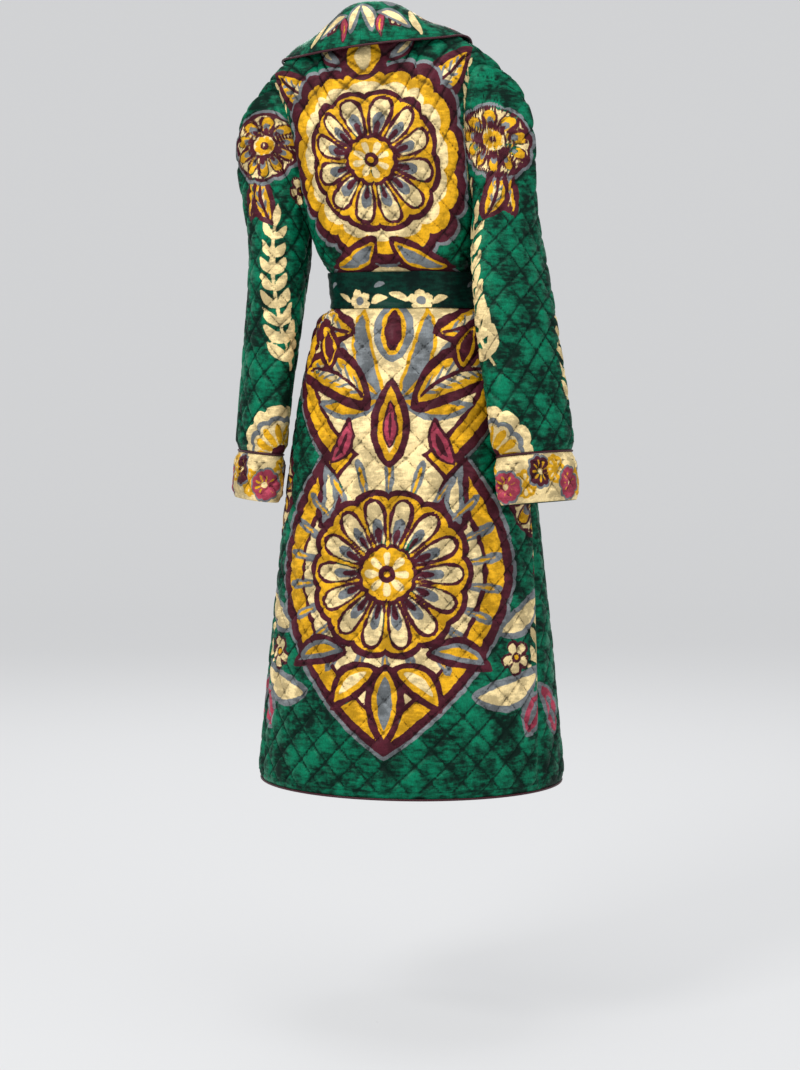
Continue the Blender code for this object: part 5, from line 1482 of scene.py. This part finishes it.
def make_knot(x, y):
    """Knot: an ellipsoid whose radius dips along three wraps, closed at both poles."""
    turns = np.linspace(0, 2 * np.pi, 73)[:-1]
    lifts = np.linspace(0, np.pi, 42)[1:-1]
    a, b = np.meshgrid(turns, lifts)
    shape = np.stack([np.sin(b) * np.cos(a), np.sin(b) * np.sin(a), np.cos(b)], -1)
    square = 1 / (np.abs(shape) ** 2.6).sum(-1) ** (1 / 2.6)
    slant = shape[..., 2] - 0.7 * shape[..., 0]
    dips = 0.16 * np.exp(-((slant - 0.25) / 0.10) ** 2) + 0.13 * np.exp(
        -((slant + 0.55) / 0.10) ** 2) + 0.05 * np.exp(-((slant - 0.85) / 0.08) ** 2)
    creases = 0.025 * rough(a, b, 0.5, 0.25, 77, 2 * np.pi)
    size = np.minimum(square, 1.12) * 0.93 * (1 - dips + creases)
    half = np.array(KNOT_HALF)
    points = shape * size[..., None] * half + (x, y, BELT_Z)
    ends = np.array([[x, y, BELT_Z + 0.9 * half[2]], [x, y, BELT_Z - 0.9 * half[2]]])
    rows, count = a.shape
    body, _ = quads(rows, count + 1, True)
    k = np.arange(count)
    first, last = rows * count, rows * count + 1
    fans = np.vstack([np.stack([k, np.full(count, first), (k + 1) % count], -1),
                      np.stack([(rows - 1) * count + (k + 1) % count, np.full(count, last),
                                (rows - 1) * count + k], -1)])
    points = np.vstack([points.reshape(-1, 3), ends])
    # Painted shade in the dips of the knot's three wraps
    valley = np.concatenate([np.clip(1 - 5 * dips, 0, 1).ravel(), [1, 1]])
    fields = {key: np.full(len(points), NO_INK) for key in INKS}
    fields.update(valley=valley, inside=np.zeros(len(points)))
    piece = add_mesh("belt_knot_velvet", points, [body[:, ::-1], fans[:, ::-1]], None,
                     points[:, [0, 2]], fields)
    finish_piece(piece, "belt_knot", BELT_VELVET)


# Camera, light and floor

def plain_material(name, colour, roughness, glow):
    """Even matt paper: part of its paleness is a steady glow, so that it stays flat."""
    material, tree, shader = new_material(name, roughness, 0.0, specular=0.0)
    shader.inputs["Emission Color"].default_value = (0.985, 0.99, 1.0, 1)
    shader.inputs["Emission Strength"].default_value = glow
    grain = add_node(tree, "ShaderNodeTexNoise", {"Scale": 3.0, "Detail": 2.0})
    shade = mix_colours(tree, grain.outputs[0], tuple(0.985 * c for c in colour) + (1,),
                        colour + (1,))
    tree.links.new(shade, shader.inputs["Base Color"])
    return material


def make_room():
    """Pale round floor that curves up into a wall: one profile turned about the origin."""
    bend = np.linspace(0, np.pi / 2, 17)
    flat_part = ROOM_RADIUS - ROOM_BEND
    reach = np.concatenate([[0.001], flat_part + ROOM_BEND * np.sin(bend), [ROOM_RADIUS]])
    rise = np.concatenate([[0.0], ROOM_BEND - ROOM_BEND * np.cos(bend), [ROOM_HIGH]])
    reach, rise = reach[:, None], rise[:, None] + FLOOR_Z
    phi = np.linspace(0, 2 * np.pi, 97)[None]
    points = np.stack([reach * np.cos(phi), reach * np.sin(phi), rise + 0 * phi], -1)
    faces, _ = quads(len(reach), phi.size, True)
    room = add_mesh("studio_floor", points[:, :-1].reshape(-1, 3), [faces])
    room.data.materials.append(plain_material("studio_paper", PAPER, 0.9, PAPER_GLOW))


def add_light(name, place, aim, size, power, colour):
    """Square area light aimed at a point."""
    lamp = bpy.data.lights.new(name, "AREA")
    lamp.energy, lamp.size, lamp.color = power, size, colour
    shown = bpy.data.objects.new(name, lamp)
    shown.location = place
    to = np.asarray(aim, float) - np.asarray(place, float)
    shown.rotation_euler = (np.arctan2(np.hypot(to[0], to[1]), -to[2]), 0.0,
                            np.arctan2(-to[0], to[1]))
    bpy.context.scene.collection.objects.link(shown)


def make_view():
    """Camera of the photograph, soft lights and an even surround."""
    camera = bpy.data.cameras.new("camera")
    camera.lens, camera.sensor_width = CAMERA_LENS, 36.0
    shown = bpy.data.objects.new("camera", camera)
    shown.location = CAMERA_PLACE
    shown.rotation_euler = np.radians(CAMERA_TURN)
    bpy.context.scene.collection.objects.link(shown)
    bpy.context.scene.camera = shown
    bpy.context.scene.view_settings.view_transform = "Standard"
    for light in LIGHTS:
        add_light(*light)
    world = bpy.data.worlds.new("studio")
    bpy.context.scene.world = world
    world.use_nodes = True
    back = world.node_tree.nodes["Background"]
    back.inputs[0].default_value = (0.80, 0.81, 0.83, 1)
    back.inputs[1].default_value = 0.62


make_panels()
make_sleeves()
hem_cord()
make_collar()
make_belt()
make_room()
make_view()
